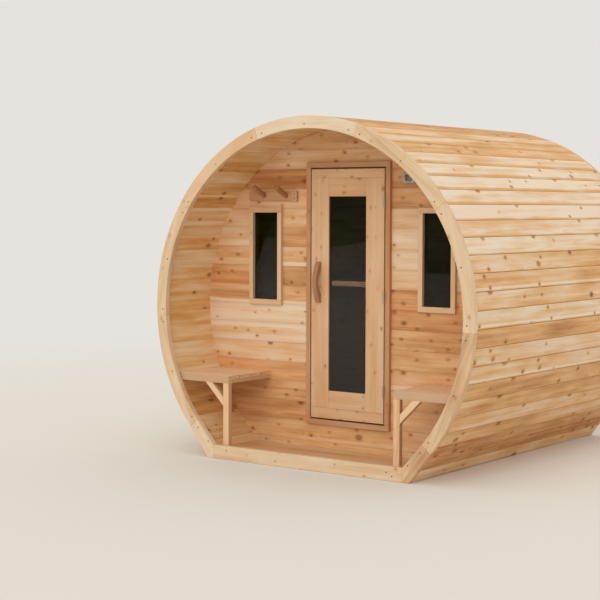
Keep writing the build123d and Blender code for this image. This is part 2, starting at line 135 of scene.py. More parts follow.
# Tones of a ring's arcs from the right joint over the top, of its feet, and of the floor boards
RING_TONES = "orange tan tan pale pink tan tan".split()
FOOT_TONES = ((1, "orange"), (-1, "light"))
FLOOR_TONES = "light tan pink tan light orange".split()

# Tones of the wall boards from the floor up: far left, left of the door, right of it, far right. The brown in
# the fifteenth row of the two left columns is painted shade at the wall's top left.
WALL_TONES = (
    "tan tan orange orange pink light white white orange red tan light tan pink brown tan tan".split(),
    "tan tan orange orange pink light pale+ white orange- amber tan- orange tan pink brown tan tan".split(),
    "tan tan pink tan pink- tan orange red red light pale pale light orange orange tan tan".split(),
    "tan tan pink tan pink tan orange red red light pale light light orange orange tan tan".split(),
)
BACK_WALL_TONES = "tan orange light pale tan red orange pink".split()

# Each timber finish: how far its light parts lean to cream, how dark its dark parts are, how strong streaks,
# growth rings, knots, seam bands and seams are, the size of its knots, and its roughness. Only the staves
# have seam bands: painted shade along each stave's lower edge, on the flank of the seam's groove that faces
# down.
Finish = namedtuple("Finish", "cream depth streaks rings knots knot_size band seam rough")
FINISHES = {
    "hull": Finish(1.00, 0.82, 1.45, 0.5, 0.30, 0.031, 0.95, 0.75, 0.62),
    "ring": Finish(0.75, 0.85, 1.2, 0.5, 0.30, 0.013, 0, 0.15, 0.60),
    "wall": Finish(0.85, 0.90, 1.2, 0.6, 0.75, 0.020, 0, 0.28, 0.62),
    "casing": Finish(0.35, 0.75, 1.0, 0.5, 0.20, 0.009, 0, 0.20, 0.60),
    "door": Finish(0.45, 0.80, 1.1, 0.6, 0.90, 0.015, 0, 0.30, 0.58),
    "trim": Finish(0.45, 0.75, 1.0, 0.6, 0.20, 0.009, 0, 0.25, 0.58),
    "bench": Finish(0.45, 0.80, 1.1, 0.6, 0.30, 0.010, 0, 0.35, 0.60),
    "floor": Finish(0.45, 0.85, 1.1, 0.6, 0.30, 0.011, 0, 0.55, 0.64),
    "handle": Finish(0.25, 0.90, 1.0, 0.7, 0, 0.008, 0, 0.10, 0.45),
}

# Width of a row of knots and of a growth ring, and how fine the figure is along a board's
# length, width and thickness
KNOT_ROW = 0.07
GROWTH_RING = 0.0052
STREAKS, FIBRES, CLOUDS = (1.1, 26.0, 26.0), (7.0, 420.0, 420.0), (3.0, 12.0, 12.0)
BROAD_CLOUDS, BLUSHES = (1.0, 5.0, 5.0), (2.0, 10.0, 10.0)

# Metals and paint: scale of their patches, dark and light colour, roughness from and to, and
# how metallic. The hinges are brushed along their height, the vent is matt grey, the screws
# have a dull bronze coating.
METALS = {
    "brushed_steel": ((900, 900, 25), (0.62, 0.60, 0.54), (0.78, 0.76, 0.69), (0.38, 0.6), 0.7),
    "vent_grey": ((35, 35, 35), (0.60, 0.56, 0.53), (0.74, 0.70, 0.66), (0.45, 0.65), 0.1),
    "dark_bronze": ((400, 400, 400), (0.20, 0.14, 0.09), (0.42, 0.31, 0.22), (0.4, 0.6), 0.6),
}

# Height of the line on the glass under which a painted reflection of the ground lies, at places across the
# front, and the glass's own colour over the line and the painted reflection's grey under it
PAINTED_REFLECTION_LINE = (
    (-0.775, 1.22), (-0.69, 1.42), (-0.57, 1.44), (-0.146, 1.37), (0.146, 1.42), (0.57, 1.23), (0.775, 1.23),
)
GLASS_DARK, GLASS_PAINTED_REFLECTION = (0.035, 0.08, 0.0), (0.25, 0.245, 0.235)

# Closed grid of sections by points. Grain is the place in the board's own length, width and
# thickness, place and groove are what edge_places gives.
Shell = namedtuple("Shell", "points grain tone place groove", defaults=(0.0, 0.0))


def joined(*parts):
    """Points or vectors from their parts, each of them an array or one number for all."""
    return np.stack(np.broadcast_arrays(*parts), axis=-1)


def hull_point(radius, seam):
    """Points at seams, counted from the top towards +X, at a distance from the hull's axis.

    Up to the last round seam a point is (radius sin t, centre + radius cos t), where t is the
    seam's turn. Past it the point runs on down the tangent, evenly to the ground.
    """
    count = np.abs(np.asarray(seam, float))
    turn = np.minimum(count, LAST_ROUND_SEAM) * SEAM_PITCH
    run = np.maximum(count - LAST_ROUND_SEAM, 0) / STRAIGHT_STAVES * STRAIGHT_LENGTH
    across = radius * np.sin(turn) + run * np.cos(turn)
    height = CENTRE_HEIGHT + radius * np.cos(turn) - run * np.sin(turn)
    return joined(np.sign(seam) * across, height)


def core_corners():
    """Heights and half widths of the staves' inner corners, from the ground up.

    Each lies at the core radius, and the lowest one is moved down along the last stave's inner
    face to the ground.
    """
    width, height = hull_point(CORE_RADIUS, np.arange(STAVES_PER_SIDE, -1, -1)).T
    width[0] -= (width[1] - width[0]) / (height[1] - height[0]) * height[0]
    height[0] = 0.0
    return height, width


CORE_HEIGHTS, CORE_WIDTHS = core_corners()


def half_width(height):
    """Half the clear width inside the staves at a height: linear between the inner corners."""
    return np.interp(height, CORE_HEIGHTS, CORE_WIDTHS)


def eased(corners, ease, cuts=0):
    """Closed outline with rounded corners.

    Each corner gives way to three points of a quadratic curve between two points that lie
    `ease` from it along its sides, and each side may get `cuts` more points, evenly spaced.
    """
    corners = np.asarray(corners, float)
    before = np.roll(corners, 1, axis=0) - corners
    after = np.roll(corners, -1, axis=0) - corners
    ease = np.broadcast_to(ease, len(corners))[:, None]
    start = corners + before / np.linalg.norm(before, axis=1, keepdims=True) * ease
    end = corners + after / np.linalg.norm(after, axis=1, keepdims=True) * ease
    share = np.linspace(0, 1, 3)[None, :, None]
    curve = (
        (1 - share) ** 2 * start[:, None]
        + 2 * share * (1 - share) * corners[:, None]
        + share**2 * end[:, None]
    )
    along = np.linspace(0, 1, cuts + 2)[1:-1][None, :, None]
    side = end[:, None] + (np.roll(start, -1, axis=0) - end)[:, None] * along
    return np.concatenate([curve, side], axis=1).reshape(-1, 2)


def inset(outline, depth):
    """The outline, pulled in on all sides by a depth, by scaling it about its middle."""
    low, high = outline.min(axis=0), outline.max(axis=0)
    middle, half = (low + high) / 2, (high - low) / 2
    return middle + (outline - middle) * (1 - np.minimum(depth / half, 0.5))


def edge_places(width, ease):
    """Where points lie across a board: -1 to 1 from edge to edge, and 0 to 1 over the eased part."""
    low, high = width.min(), width.max()
    place = (width - (low + high) / 2) / ((high - low) / 2)
    from_side = (1 - np.abs(place)) * (high - low) / 2
    return place, np.clip(1 - from_side / np.max(ease), 0, 1)


def rectangle(low_width, high_width, low_thick, high_thick):
    """The four corners of a board's section."""
    return [
        (low_width, low_thick), (high_width, low_thick), (high_width, high_thick), (low_width, high_thick),
    ]


def board(corners, start, end, axes, tone, ease=0.0015, origin=(0, 0, 0)):
    """Straight board with eased edges and ends.

    `corners` are its section, as width and thickness coordinates. `start` and `end` are where
    it begins and stops along its length, as numbers or as functions of the section's points,
    so that an end can be cut on a slope. Point = origin + length * axis 0 + width * axis 1
    + thickness * axis 2.
    """
    outline = eased(corners, ease)
    smaller = inset(outline, ease)
    first = start(outline) if callable(start) else np.full(len(outline), start)
    last = end(outline) if callable(end) else np.full(len(outline), end)
    sections = np.stack([smaller, outline, outline, smaller])
    lengths = np.stack([first, first + ease, last - ease, last])
    local = np.concatenate([lengths[..., None], sections], axis=-1)
    middle = np.array([0.0, *(outline.min(axis=0) + outline.max(axis=0)) / 2])
    points = np.asarray(origin, float) + local @ axes
    return Shell(points, local - middle, tone, *edge_places(outline[:, 0], ease))


def block(x, y, z, axes, tone, ease=0.0015):
    """Board that fills a box, which is given as its ranges along X, Y and Z."""
    length, width, thick = ((x, y, z)[axis] for axis in axes)
    return board(rectangle(*width, *thick), *length, np.eye(3)[axes], tone, ease)


def border(x, y, z, side, end, level_through=True):
    """What block needs for four boards round a rectangle, by the edge that they lie along.

    The standing boards are `side` wide and the level ones `end` high. Two of them run through
    along the whole of their edges, and the other two fit between them.
    """
    (left, right), (bottom, top) = x, z
    if level_through:
        z = (bottom + end, top - end)
    else:
        x = (left + side, right - side)
    return {
        "left": ((left, left + side), y, z, STANDING),
        "right": ((right - side, right), y, z, STANDING),
        "top": (x, y, (top - end, top), LEVEL_UPRIGHT),
        "bottom": (x, y, (bottom, bottom + end), LEVEL_UPRIGHT),
    }


def shelf_board(y, z, start, end, tone, ease=0.002):
    """Level board along X. A start or end given as -1 or 1 runs to the staves on that side."""

    def cut(place):
        """The end's place, or half the clear width at each of the section's points, less the gap."""
        if place in (-1, 1):
            return lambda section: place * (half_width(section[:, 1]) - STAVE_GAP)
        return place

    return board(rectangle(*y, *z), cut(start), cut(end), np.eye(3)[LEVEL_FLAT], tone, ease)


def outward(points):
    """Whether the grid's loops run the right way round for faces that point outwards.

    The sign of the closed shell's volume, summed over its faces as triple products, tells.
    """
    following = np.roll(points, -1, axis=1)
    near, right = points[:-1], following[:-1]
    far, across = points[1:], following[1:]
    sides = np.einsum("...i,...i", near, np.cross(right, across) + np.cross(across, far)).sum()
    caps = 0.0
    for row, sign in ((0, -1), (-1, 1)):
        caps += sign * np.cross(points[row], following[row]).sum(axis=0) @ points[row].mean(axis=0)
    return sides + caps > 0


def add_object(name, data):
    """Puts a new object with given data into the scene."""
    made = bpy.data.objects.new(name, data)
    bpy.context.scene.collection.objects.link(made)
    return made


def make_piece(name, shells, finish, *replaced, slot=None, body=CABIN, smooth=False):
    """Joins closed shells into one object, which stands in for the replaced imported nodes.

    Each shell is a grid of sections by points. Quads join neighbouring sections, and one face
    closes each end. Attributes for the materials: `grain` is the place in the board's own
    length, width and thickness, `tone` its darkness, redness and seed, and `edge` the place
    across the board, how deep in a seam it is, and the board's pale band.
    """
    faces, grain, tone, edge, points = [], [], [], [], []
    count = 0
    for shell in shells:
        shape = shell.points.shape[:2]
        index = count + np.arange(shape[0] * shape[1]).reshape(shape)
        if not outward(shell.points):
            index = index[:, ::-1]
        following = np.roll(index, -1, axis=1)
        quads = np.stack([index[:-1], following[:-1], following[1:], index[1:]], axis=-1)
        faces += quads.reshape(-1, 4).tolist()
        faces += [index[0, ::-1].tolist(), index[-1].tolist()]
        points.append(shell.points.reshape(-1, 3))
        grain.append(shell.grain.reshape(-1, 3) + [FIGURE_REACH * shell.tone[2], 0, 0])
        tone.append(np.broadcast_to(shell.tone[:3], (index.size, 3)))
        band = np.full(shape, shell.tone[3])
        edge.append(joined(shell.place, shell.groove, band).reshape(-1, 3))
        count += index.size
    mesh = bpy.data.meshes.new(name)
    mesh.from_pydata(np.concatenate(points).tolist(), [], faces)
    for key, values in (("grain", grain), ("tone", tone), ("edge", edge)):
        layer = mesh.attributes.new(key, "FLOAT_VECTOR", "POINT")
        layer.data.foreach_set("vector", np.concatenate(values).astype(np.float32).ravel())
    mesh.polygons.foreach_set("use_smooth", np.full(len(mesh.polygons), smooth))
    if smooth:
        mesh.set_sharp_from_angle(angle=SHARP_EDGE)
    mesh.materials.append(finish_of(finish))
    piece = add_object(name, mesh)
    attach(piece, body)
    if replaced:
        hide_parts(*replaced)


def repaint(node, finish):
    """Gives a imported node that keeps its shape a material."""
    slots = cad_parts[node].data.materials
    slots.clear()
    slots.append(finish_of(finish))


def tones(number):
    """A function from words to tones for one group of boards, with the same draws in each run.

    A tone is darkness, redness, a seed, and the pale band as a share of the board's width,
    positive at its upper edge and negative at its lower one. Darkness and redness are each a
    little off. Where several words are given, one is drawn.
    """
    chance = np.random.default_rng(bpy.context.scene.sauna_timber.seed + number)

    def tone(word, spread=0.06):
        """The word's two values, each plus an even draw within the spread, cut to 0 to 1."""
        if not isinstance(word, str):
            word = word[chance.integers(len(word))]
        band = PALE_BAND * (word.count("+") - word.count("-"))
        dark, red = np.clip(TONES[word.strip("+-")] + chance.uniform(-spread, spread, 2), 0, 1)
        return np.array([dark, red, chance.uniform(0.05, 0.95), band])

    return tone


def box_of(node):
    """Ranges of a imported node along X, Y and Z."""
    return np.array(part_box(node)).T


def plug(tree, node, values):
    """Fills a node's inputs. A value that is another node's output is linked, any other is set."""
    for key, value in values.items():
        if isinstance(value, bpy.types.NodeSocket):
            tree.links.new(value, node.inputs[key])
        else:
            node.inputs[key].default_value = value


def add_node(tree, kind, values=None, **settings):
    """Adds a shader node with settings, and fills its inputs."""
    made = tree.nodes.new(f"ShaderNode{kind}")
    for key, value in settings.items():
        setattr(made, key, value)
    plug(tree, made, values or {})
    return made


def maths(tree, operation, *values, clamp=False):
    """Output of a Math node with the given operands."""
    operands = dict(enumerate(values))
    return add_node(tree, "Math", operands, operation=operation, use_clamp=clamp).outputs[0]


def times(tree, first, second, clamp=False):
    """Product of two values."""
    return maths(tree, "MULTIPLY", first, second, clamp=clamp)


def scaled(tree, value, factor, added, clamp=False):
    """A value times a factor, plus a second value."""
    return maths(tree, "MULTIPLY_ADD", value, factor, added, clamp=clamp)


def vectors(tree, operation, *values):
    """Output of a Vector Math node with the given operands."""
    made = add_node(tree, "VectorMath", dict(enumerate(values)), operation=operation)
    return made.outputs["Value" if operation in ("LENGTH", "DOT_PRODUCT") else "Vector"]


def noise(tree, place, scale, detail=2.0, rough=0.5):
    """Noise between 0 and 1 at a place that is stretched by a scale for each axis."""
    stretched = vectors(tree, "MULTIPLY", place, scale)
    values = {"Vector": stretched, "Scale": 1.0, "Detail": detail, "Roughness": rough}
    return add_node(tree, "TexNoise", values).outputs[0]


def fade(tree, value, low, high, to_low=0.0, to_high=1.0):
    """Smooth step of a value from low to high."""
    values = {"Value": value, 1: low, 2: high, 3: to_low, 4: to_high}
    return add_node(tree, "MapRange", values, interpolation_type="SMOOTHSTEP").outputs[0]


def swing(tree, base, value, reach):
    """A base plus a noise's difference from its middle, times a reach."""
    return maths(tree, "ADD", base, scaled(tree, value, reach, -0.5 * reach))


def blend_colours(tree, share, first, second, mode="MIX"):
    """Two colours blended by a share, each another node's output or as seen on a screen."""
    first, second = (
        part if isinstance(part, bpy.types.NodeSocket) else linear(part) for part in (first, second)
    )
    values = {0: share, 6: first, 7: second}
    return add_node(tree, "Mix", values, data_type="RGBA", blend_type=mode).outputs[2]


def bump(tree, height, strength, distance):
    """Normals of a surface that rises by a height times a distance, times a strength."""
    values = {"Height": height, "Strength": strength, "Distance": distance}
    return add_node(tree, "Bump", values).outputs[0]


def object_place(tree):
    """The place on the object."""
    return add_node(tree, "TexCoord").outputs["Object"]


def split(tree, vector):
    """The three parts of a vector."""
    return add_node(tree, "SeparateXYZ", {0: vector}).outputs


def attribute(tree, name):
    """A vector attribute."""
    return add_node(tree, "Attribute", attribute_name=name).outputs["Vector"]


def linear(colour):
    """Linear red, green, blue and alpha of a colour as seen on a screen."""
    seen = np.asarray(colour[:3], float)
    light = np.where(seen <= 0.04045, seen / 12.92, ((seen + 0.055) / 1.055) ** 2.4)
    return (*light.tolist(), 1.0)


def new_material(name):
    """Empty node material with a principled shader, and its tree."""
    material = bpy.data.materials.new(name)
    material.use_nodes = True
    tree = material.node_tree
    tree.nodes.clear()
    shader = add_node(tree, "BsdfPrincipled")
    add_node(tree, "OutputMaterial", {0: shader.outputs[0]})
    return material, tree, shader


def knots(tree, grain, spacing, finish):
    """Knots: how far a point is inside one, how far in its shade, and how the grain swells there.

    Each cell of a plane pattern along the board holds one point. The knot there is a round
    patch whose size is drawn for the cell, and only some cells have one. The swelling is
    1 / (1 + d * d) squared, where d is the distance in units that are longer along the grain.
    """
    place = vectors(tree, "DIVIDE", grain, (spacing, KNOT_ROW, 1.0))
    pattern = {"Vector": place, "Scale": 1.0, "Randomness": 0.9}
    cells = add_node(tree, "TexVoronoi", pattern, voronoi_dimensions="2D").outputs
    away = vectors(tree, "SUBTRACT", place, cells["Position"])
    away = vectors(tree, "MULTIPLY", away, (spacing, KNOT_ROW, 0.0))
    length = vectors(tree, "LENGTH", vectors(tree, "MULTIPLY", away, (0.8, 1.15, 0.0)))
    chance = add_node(tree, "SeparateColor", {0: cells["Color"]}).outputs
    present = maths(tree, "LESS_THAN", chance[0], finish.knots)
    present = times(tree, present, scaled(tree, chance[2], 0.45, 0.55))
    size = maths(tree, "POWER", chance[1], 3.0)
    size = scaled(tree, size, finish.knot_size * 0.75, finish.knot_size * 0.25)
    ragged = scaled(tree, noise(tree, grain, (90, 90, 90)), 0.007, -0.0035)
    inside = maths(tree, "SUBTRACT", size, maths(tree, "ADD", length, ragged))
    core = times(tree, fade(tree, inside, -0.0018, 0.0035), present)
    halo = times(tree, fade(tree, inside, -0.018, 0.0), present)
    far = vectors(tree, "DIVIDE", away, (0.055, 0.02, 1.0))
    far = vectors(tree, "DOT_PRODUCT", far, far)
    swell = maths(tree, "POWER", maths(tree, "ADD", far, 1.0), -2.0)
    return core, halo, times(tree, swell, present)


def growth_rings(tree, grain, parts, seed, swell):
    """Growth rings: dark late wood in each ring, 0 to 1.

    The ring number is the distance from the tree's middle, which lies behind the board and
    wanders along it, divided by the ring's width.
    """
    across = maths(tree, "SUBTRACT", parts[1], scaled(tree, seed, 0.13, -0.065))
    across = scaled(tree, noise(tree, grain, (0.6, 3.0, 3.0)), 0.06, across)
    behind = scaled(tree, noise(tree, grain, (0.8, 1.5, 1.5), 1.0), 0.06, 0.025)
    behind = maths(tree, "ADD", parts[2], behind)
    squares = (maths(tree, "POWER", part, 2.0) for part in (across, behind))
    distance = maths(tree, "SQRT", maths(tree, "ADD", *squares))
    distance = scaled(tree, swell, 0.016, distance)
    share = maths(tree, "FRACT", maths(tree, "DIVIDE", distance, GROWTH_RING))
    return times(tree, fade(tree, share, 0.35, 0.9), fade(tree, share, 1.0, 0.93))


def timber(name):
    """Planed timber, worked out in the board's own length, width and thickness.

    Its shade is the board's own darkness plus broad streaks, clouds, growth rings and fine fibres, less in
    the pale band along an edge and more round a knot. The colour runs with the shade from cream over the
    finish's own colour to its dark one, and leans to red. Knots and seams are laid over it, and on the
    staves' outside a band of painted shade runs along the lower edge over each seam, with the seam itself
    narrowed to a dark line of painted shade at the groove's bottom.
    """
    settings = bpy.context.scene.sauna_timber
    finish = FINISHES[name]
    middle = np.array(getattr(settings, name))
    material, tree, shader = new_material(f"{name}_timber")
    grain = attribute(tree, "grain")
    parts = split(tree, grain)
    own, beside = (split(tree, attribute(tree, part)) for part in ("tone", "edge"))
    core, halo, swell = knots(tree, grain, settings.knot_spacing, finish)
    late = growth_rings(tree, grain, parts, own[2], swell)
    streak = noise(tree, grain, STREAKS, 4.0, 0.62)
    fibre = noise(tree, grain, FIBRES, 1.0)
    cloud = noise(tree, grain, CLOUDS)
    shade = swing(tree, own[0], streak, 0.85 * finish.streaks)
    shade = swing(tree, shade, cloud, 0.55 * finish.streaks)
    shade = swing(tree, shade, noise(tree, grain, BROAD_CLOUDS), 0.32 * finish.streaks)
    shade = swing(tree, shade, late, 0.20 * finish.rings)
    shade = swing(tree, shade, fibre, 0.16)
    side = maths(tree, "SIGN", beside[2])
    reach = scaled(tree, maths(tree, "ABSOLUTE", beside[2]), 2.0, -1.0)
    reach = maths(tree, "ADD", times(tree, beside[0], side), swing(tree, reach, streak, 0.8))
    paler = -0.45 if finish.band else -0.75
    shade = scaled(tree, fade(tree, reach, -0.08, 0.12), paler, shade)
    shade = scaled(tree, halo, 0.28, shade, clamp=True)
    ramp = add_node(tree, "ValToRGB", {0: shade})
    stops = ramp.color_ramp.elements
    stops[0].color = linear(middle + (np.array(settings.cream) - middle) * finish.cream)
    stops[1].color = linear(middle * (1 - finish.depth * np.array([0.22, 0.36, 0.48])))
    stops.new(0.5).color = linear(middle)
    warmth = noise(tree, vectors(tree, "ADD", grain, (3.7, 0.9, 0.0)), BLUSHES)
    redness = times(tree, own[1], scaled(tree, warmth, 2.0, -0.35), clamp=True)
    colour = blend_colours(tree, redness, ramp.outputs[0], settings.blush, "MULTIPLY")
    mark = times(tree, core, scaled(tree, fibre, 0.5, 0.5), clamp=True)
    colour = blend_colours(tree, mark, colour, settings.knot_colour)
    seam = beside[1]
    # On the staves' outside: a band of painted shade along each stave's lower edge, where the seam's groove
    # faces down, wider higher up the hull. The seam is narrowed to a dark line of painted shade at the
    # groove's bottom.
    if finish.band:
        inside = fade(tree, parts[2], -0.012, 0.0, 1.0, 0.0)
        colour = blend_colours(tree, inside, colour, settings.inside_tint, "MULTIPLY")
        wide = fade(tree, split(tree, object_place(tree))[2], 1.40, 1.90, 0.05, 0.30)
        low = swing(tree, maths(tree, "SUBTRACT", wide, beside[0]), streak, 0.22)
        band = times(tree, fade(tree, low, 0.80, 0.97), fade(tree, parts[2], 0.010, 0.016))
        strength = fade(tree, cloud, 0.25, 0.6, 0.45 * finish.band, finish.band)
        band = times(tree, band, strength)
        colour = blend_colours(tree, band, colour, settings.seam_shade_colour)
        seam = fade(tree, seam, 0.70, 0.95)
    seam = times(tree, seam, finish.seam)
    colour = blend_colours(tree, seam, colour, settings.seam_colour)
    rough = scaled(tree, fibre, 0.16, finish.rough - 0.08)
    height = scaled(tree, core, 0.6, scaled(tree, late, -0.5, fibre))
    normal = bump(tree, height, 0.35, 0.0008)
    plug(tree, shader, {
        "Base Color": colour, "Roughness": rough, "Normal": normal, "Specular IOR Level": 0.3,
    })
    return material


def tinted_glass(name):
    """Dark tinted glass: near black green above, with a painted reflection of the ground, grey, below a line.

    The line's height goes straight from one of PAINTED_REFLECTION_LINE's places across the front to the next.
    """
    material, tree, shader = new_material(name)
    place = object_place(tree)
    parts = split(tree, place)
    ramp = add_node(tree, "ValToRGB", {0: scaled(tree, parts[0], 0.5, 0.5)})
    for x, height in PAINTED_REFLECTION_LINE:
        ramp.color_ramp.elements.new(0.5 + 0.5 * x).color = (*[height / 2] * 3, 1)
    above = scaled(tree, ramp.outputs[0], -2.0, parts[2])
    flow = noise(tree, place, (5.0, 5.0, 2.0), 2.0)
    # Painted reflection: under the line the glass turns grey for the ground that it mirrors, in patches,
    # weaker towards the line.
    painted_reflection = fade(tree, swing(tree, above, flow, 0.03), -0.008, 0.008, 1.0, 0.0)
    painted_reflection = times(tree, painted_reflection, fade(tree, above, -0.45, 0.0, 1.0, 0.45))
    painted_reflection = times(tree, painted_reflection, scaled(tree, flow, 0.5, 0.75))
    colour = blend_colours(tree, painted_reflection, GLASS_DARK, GLASS_PAINTED_REFLECTION)
    normal = bump(tree, noise(tree, place, (9.0, 9.0, 3.0), 1.0), 0.02, 0.01)
    plug(tree, shader, {
        "Base Color": colour, "Normal": normal, "Roughness": 0.03, "Specular IOR Level": 0.1, "Alpha": 0.55,
    })
    return material


def metal(name):
    """Metal or paint whose colour and roughness vary between two values in patches of a scale."""
    scale, dark, light, rough, metallic = METALS[name]
    material, tree, shader = new_material(name)
    patches = noise(tree, object_place(tree), scale, 3.0)
    colour = blend_colours(tree, fade(tree, patches, 0.3, 0.7), dark, light)
    rough = fade(tree, patches, 0.2, 0.8, *rough)
    plug(tree, shader, {"Base Color": colour, "Roughness": rough, "Metallic": metallic})
    return material


def finish_of(name):
    """The material of that name, made the first time that it is asked for."""
    known = bpy.data.materials.get(f"{name}_timber") or bpy.data.materials.get(name)
    make = timber if name in FINISHES else metal if name in METALS else tinted_glass
    return known or make(name)


def distance_property(name, description, default):
    """A length that the user can change."""
    return FloatProperty(
        name=name, description=description, default=default, min=0.0002, subtype="DISTANCE", unit="LENGTH"
    )


def colour_property(name, description, default):
    """A colour that the user can change, as seen on a screen."""
    return FloatVectorProperty(
        name=name, description=description, default=default, min=0, max=1, size=3, subtype="COLOR_GAMMA"
    )


class TimberSettings(bpy.types.PropertyGroup):
    """The timber's colours and knots."""

    hull: colour_property("Staves", "Colour of a middling stave", (0.885, 0.715, 0.50))
    ring: colour_property("Rings", "Colour of the rings and sills", (0.86, 0.75, 0.605))
    wall: colour_property("Walls", "Colour of a middling wall board", (0.87, 0.695, 0.495))
    casing: colour_property("Door frame", "Colour of the door frame and the robe rail", (0.75, 0.575, 0.415))
    door: colour_property("Door", "Colour of the door leaf", (0.83, 0.665, 0.495))
    trim: colour_property("Window trims", "Colour of the window trims", (0.865, 0.735, 0.585))
    bench: colour_property("Benches", "Colour of the benches", (0.905, 0.75, 0.58))
    floor: colour_property("Floors", "Colour of the floor boards and joists", (0.85, 0.70, 0.525))
    handle: colour_property("Handle", "Colour of the handle and the pegs", (0.68, 0.50, 0.35))
    cream: colour_property("Cream", "Colour that all light parts lean to", (0.935, 0.872, 0.785))
    blush: colour_property("Blush", "Tint of the reddest boards", (1.0, 0.90, 0.83))
    inside_tint: colour_property("Inside tint", "Tint of the staves' inner sides", (1.0, 1.0, 0.95))
    knot_colour: colour_property("Knots", "Colour in the middle of a knot", (0.45, 0.26, 0.14))
    seam_colour: colour_property("Seams", "Colour in the seams", (0.45, 0.27, 0.13))
    # The seam bands' colour is painted shade, laid over the staves' seams.
    seam_shade_colour: colour_property("Seam shade", "Colour over the staves' seams", (0.87, 0.645, 0.37))
    knot_spacing: distance_property("Knot spacing", "Mean distance between knots along a board", 0.22)
    seed: IntProperty(name="Seed", description="Start of all random draws", default=11)


class HullSettings(bpy.types.PropertyGroup):
    """Sizes of the staves and rings that only the looks need."""

    seam_ease: distance_property("Seam ease", "How far the staves' outer edges are cut back", 0.0060)
    inner_ease: distance_property("Inner ease", "How far the staves' inner edges are cut back", 0.0022)
    ring_ease: distance_property("Ring ease", "How far the rings' edges are rounded", 0.0025)
    screw_radius: distance_property("Screw radius", "Radius of the screws' heads", 0.0045)
    arc_steps: IntProperty(name="Arc steps", description="Sections along a ring's arc", default=24, min=3)


class WallSettings(bpy.types.PropertyGroup):
    """Sizes of the boards in the walls and floors."""

    board_pitch: distance_property("Board pitch", "Height of one wall board", 0.128)
    board_seam: distance_property("Board seam", "Height of a seam that the others are counted from", 1.630)
    floor_board: distance_property("Floor board", "Width of one floor board", 0.0914)
    ease: distance_property("Ease", "How far the boards' edges are eased", 0.0016)


class StageSettings(bpy.types.PropertyGroup):
    """Camera and light."""

    camera_place: FloatVectorProperty(
        name="Camera place", description="Where the camera stands",
        default=(5.569, -8.746, 1.637), size=3, subtype="TRANSLATION", unit="LENGTH",
    )
    camera_turn: FloatVectorProperty(
        name="Camera turn", description="Turn to the left of +Y, tilt below the horizon, and roll",
        default=(radians(36.6616), radians(3.5137), radians(0.1488)), size=3, subtype="EULER",
        unit="ROTATION",
    )
    lens: FloatProperty(
        name="Lens", description="Focal length for a 36 mm frame",
        default=90.67, min=1, subtype="DISTANCE_CAMERA",
    )
    floor_colour: colour_property("Floor", "Colour of the floor and the far background", (0.90, 0.89, 0.87))
    sky_colour: colour_property("Sky", "Colour of the even light from all sides", (1.0, 0.985, 0.955))
    sky_strength: FloatProperty(name="Sky strength", description="Strength of the even light", default=0.76)
    roof_sun: FloatProperty(name="Roof sun", description="Strength of the wide sun above", default=0.40)
    porch_sun: FloatProperty(name="Porch sun", description="Strength of the wide sun in front", default=0.80)
    room_lamp: FloatProperty(
        name="Room lamp", description="Power of the small lamp before the raised bench",
        default=0.26, min=0, subtype="POWER", unit="POWER",
    )


def stave(number, side, tone, settings):
    """One stave: its section, with eased corners, carried along the barrel.

    The section's outer corners lie on the hull and its inner ones on the core, one seam apart.
    Its width runs up the hull and its thickness out of it.
    """
    ends = np.array([number, number + 1])
    outer = hull_point(HULL_RADIUS, side * ends)
    if number == 0:
        outer[0] = (0, CENTRE_HEIGHT + HULL_RADIUS)
    rows = STAVES_PER_SIDE - ends
    inner = joined(side * CORE_WIDTHS[rows], CORE_HEIGHTS[rows])
    section = np.array([inner[0], inner[1], outer[1], outer[0]])
    outline = eased(section, np.repeat([settings.inner_ease, settings.seam_ease], 2))
    down = (outer[1] - outer[0]) / np.linalg.norm(outer[1] - outer[0])
    out = side * np.array([-down[1], down[0]])
    width, thickness = ((outline - section.mean(axis=0)) @ joined(-down, out)).T
    lengths = np.array([HULL_FRONT, HULL_BACK])[:, None]
    points = joined(outline[:, 0], lengths, outline[:, 1])
    grain = joined(lengths, width, thickness)
    return Shell(points, grain, tone, *edge_places(width, settings.seam_ease))


class SAUNA_OT_staves(bpy.types.Operator):
    """Makes the staves, one piece for each panel of the hull"""

    bl_idname = "sauna.staves"
    bl_label = "Staves"

    def execute(self, context):
        settings = context.scene.sauna_hull
        tone = tones(0)
        bounds = [round((2 * k / HULL_PANELS - 1) * STAVES_PER_SIDE) for k in range(HULL_PANELS + 1)]
        for panel in range(HULL_PANELS):
            shells = []
            for seam in range(bounds[panel], bounds[panel + 1]):
                number, side, words = (seam, 1, RIGHT_STAVES) if seam >= 0 else (-seam - 1, -1, LEFT_STAVES)
                shells.append(stave(number, side, tone(words[number], spread=0.05), settings))
            make_piece(f"staves_{panel + 1}", shells, "hull", f"hull_panel_{panel + 1}")
        return {"FINISHED"}


def ring_arc(number, front, back, tone, settings):
    """One arc of a ring: its section, with rounded edges, carried round the hull's axis.

    Point = (r sin t, y, centre + r cos t), where r and y run round the section and t is the
    turn. Its grain is straight, along the arc's chord, as the plank's that it is sawn from.
    """
    ease = settings.ring_ease
    outline = eased(rectangle(RING_INNER_RADIUS, HULL_RADIUS - RING_SHY, front, back), ease)
    start = RING_JOINT - (number + 1) * RING_ARC
    turns = np.linspace(start + ease / HULL_RADIUS, start + RING_ARC - ease / HULL_RADIUS, settings.arc_steps)
    turns = np.array([start, *turns, start + RING_ARC])[:, None]
    sections = np.stack([inset(outline, ease), *[outline] * settings.arc_steps, inset(outline, ease)])
    radius, depth = sections[..., 0], sections[..., 1]
    points = joined(radius * np.sin(turns), depth, CENTRE_HEIGHT + radius * np.cos(turns))
    middle = start + RING_ARC / 2
    along = radius * np.sin(turns - middle)
    out = radius * np.cos(turns - middle) - (HULL_RADIUS + RING_INNER_RADIUS) / 2
    place = (radius - radius.mean()) / np.ptp(radius) * 2
    return Shell(points, joined(along, out, depth - front), tone, place)


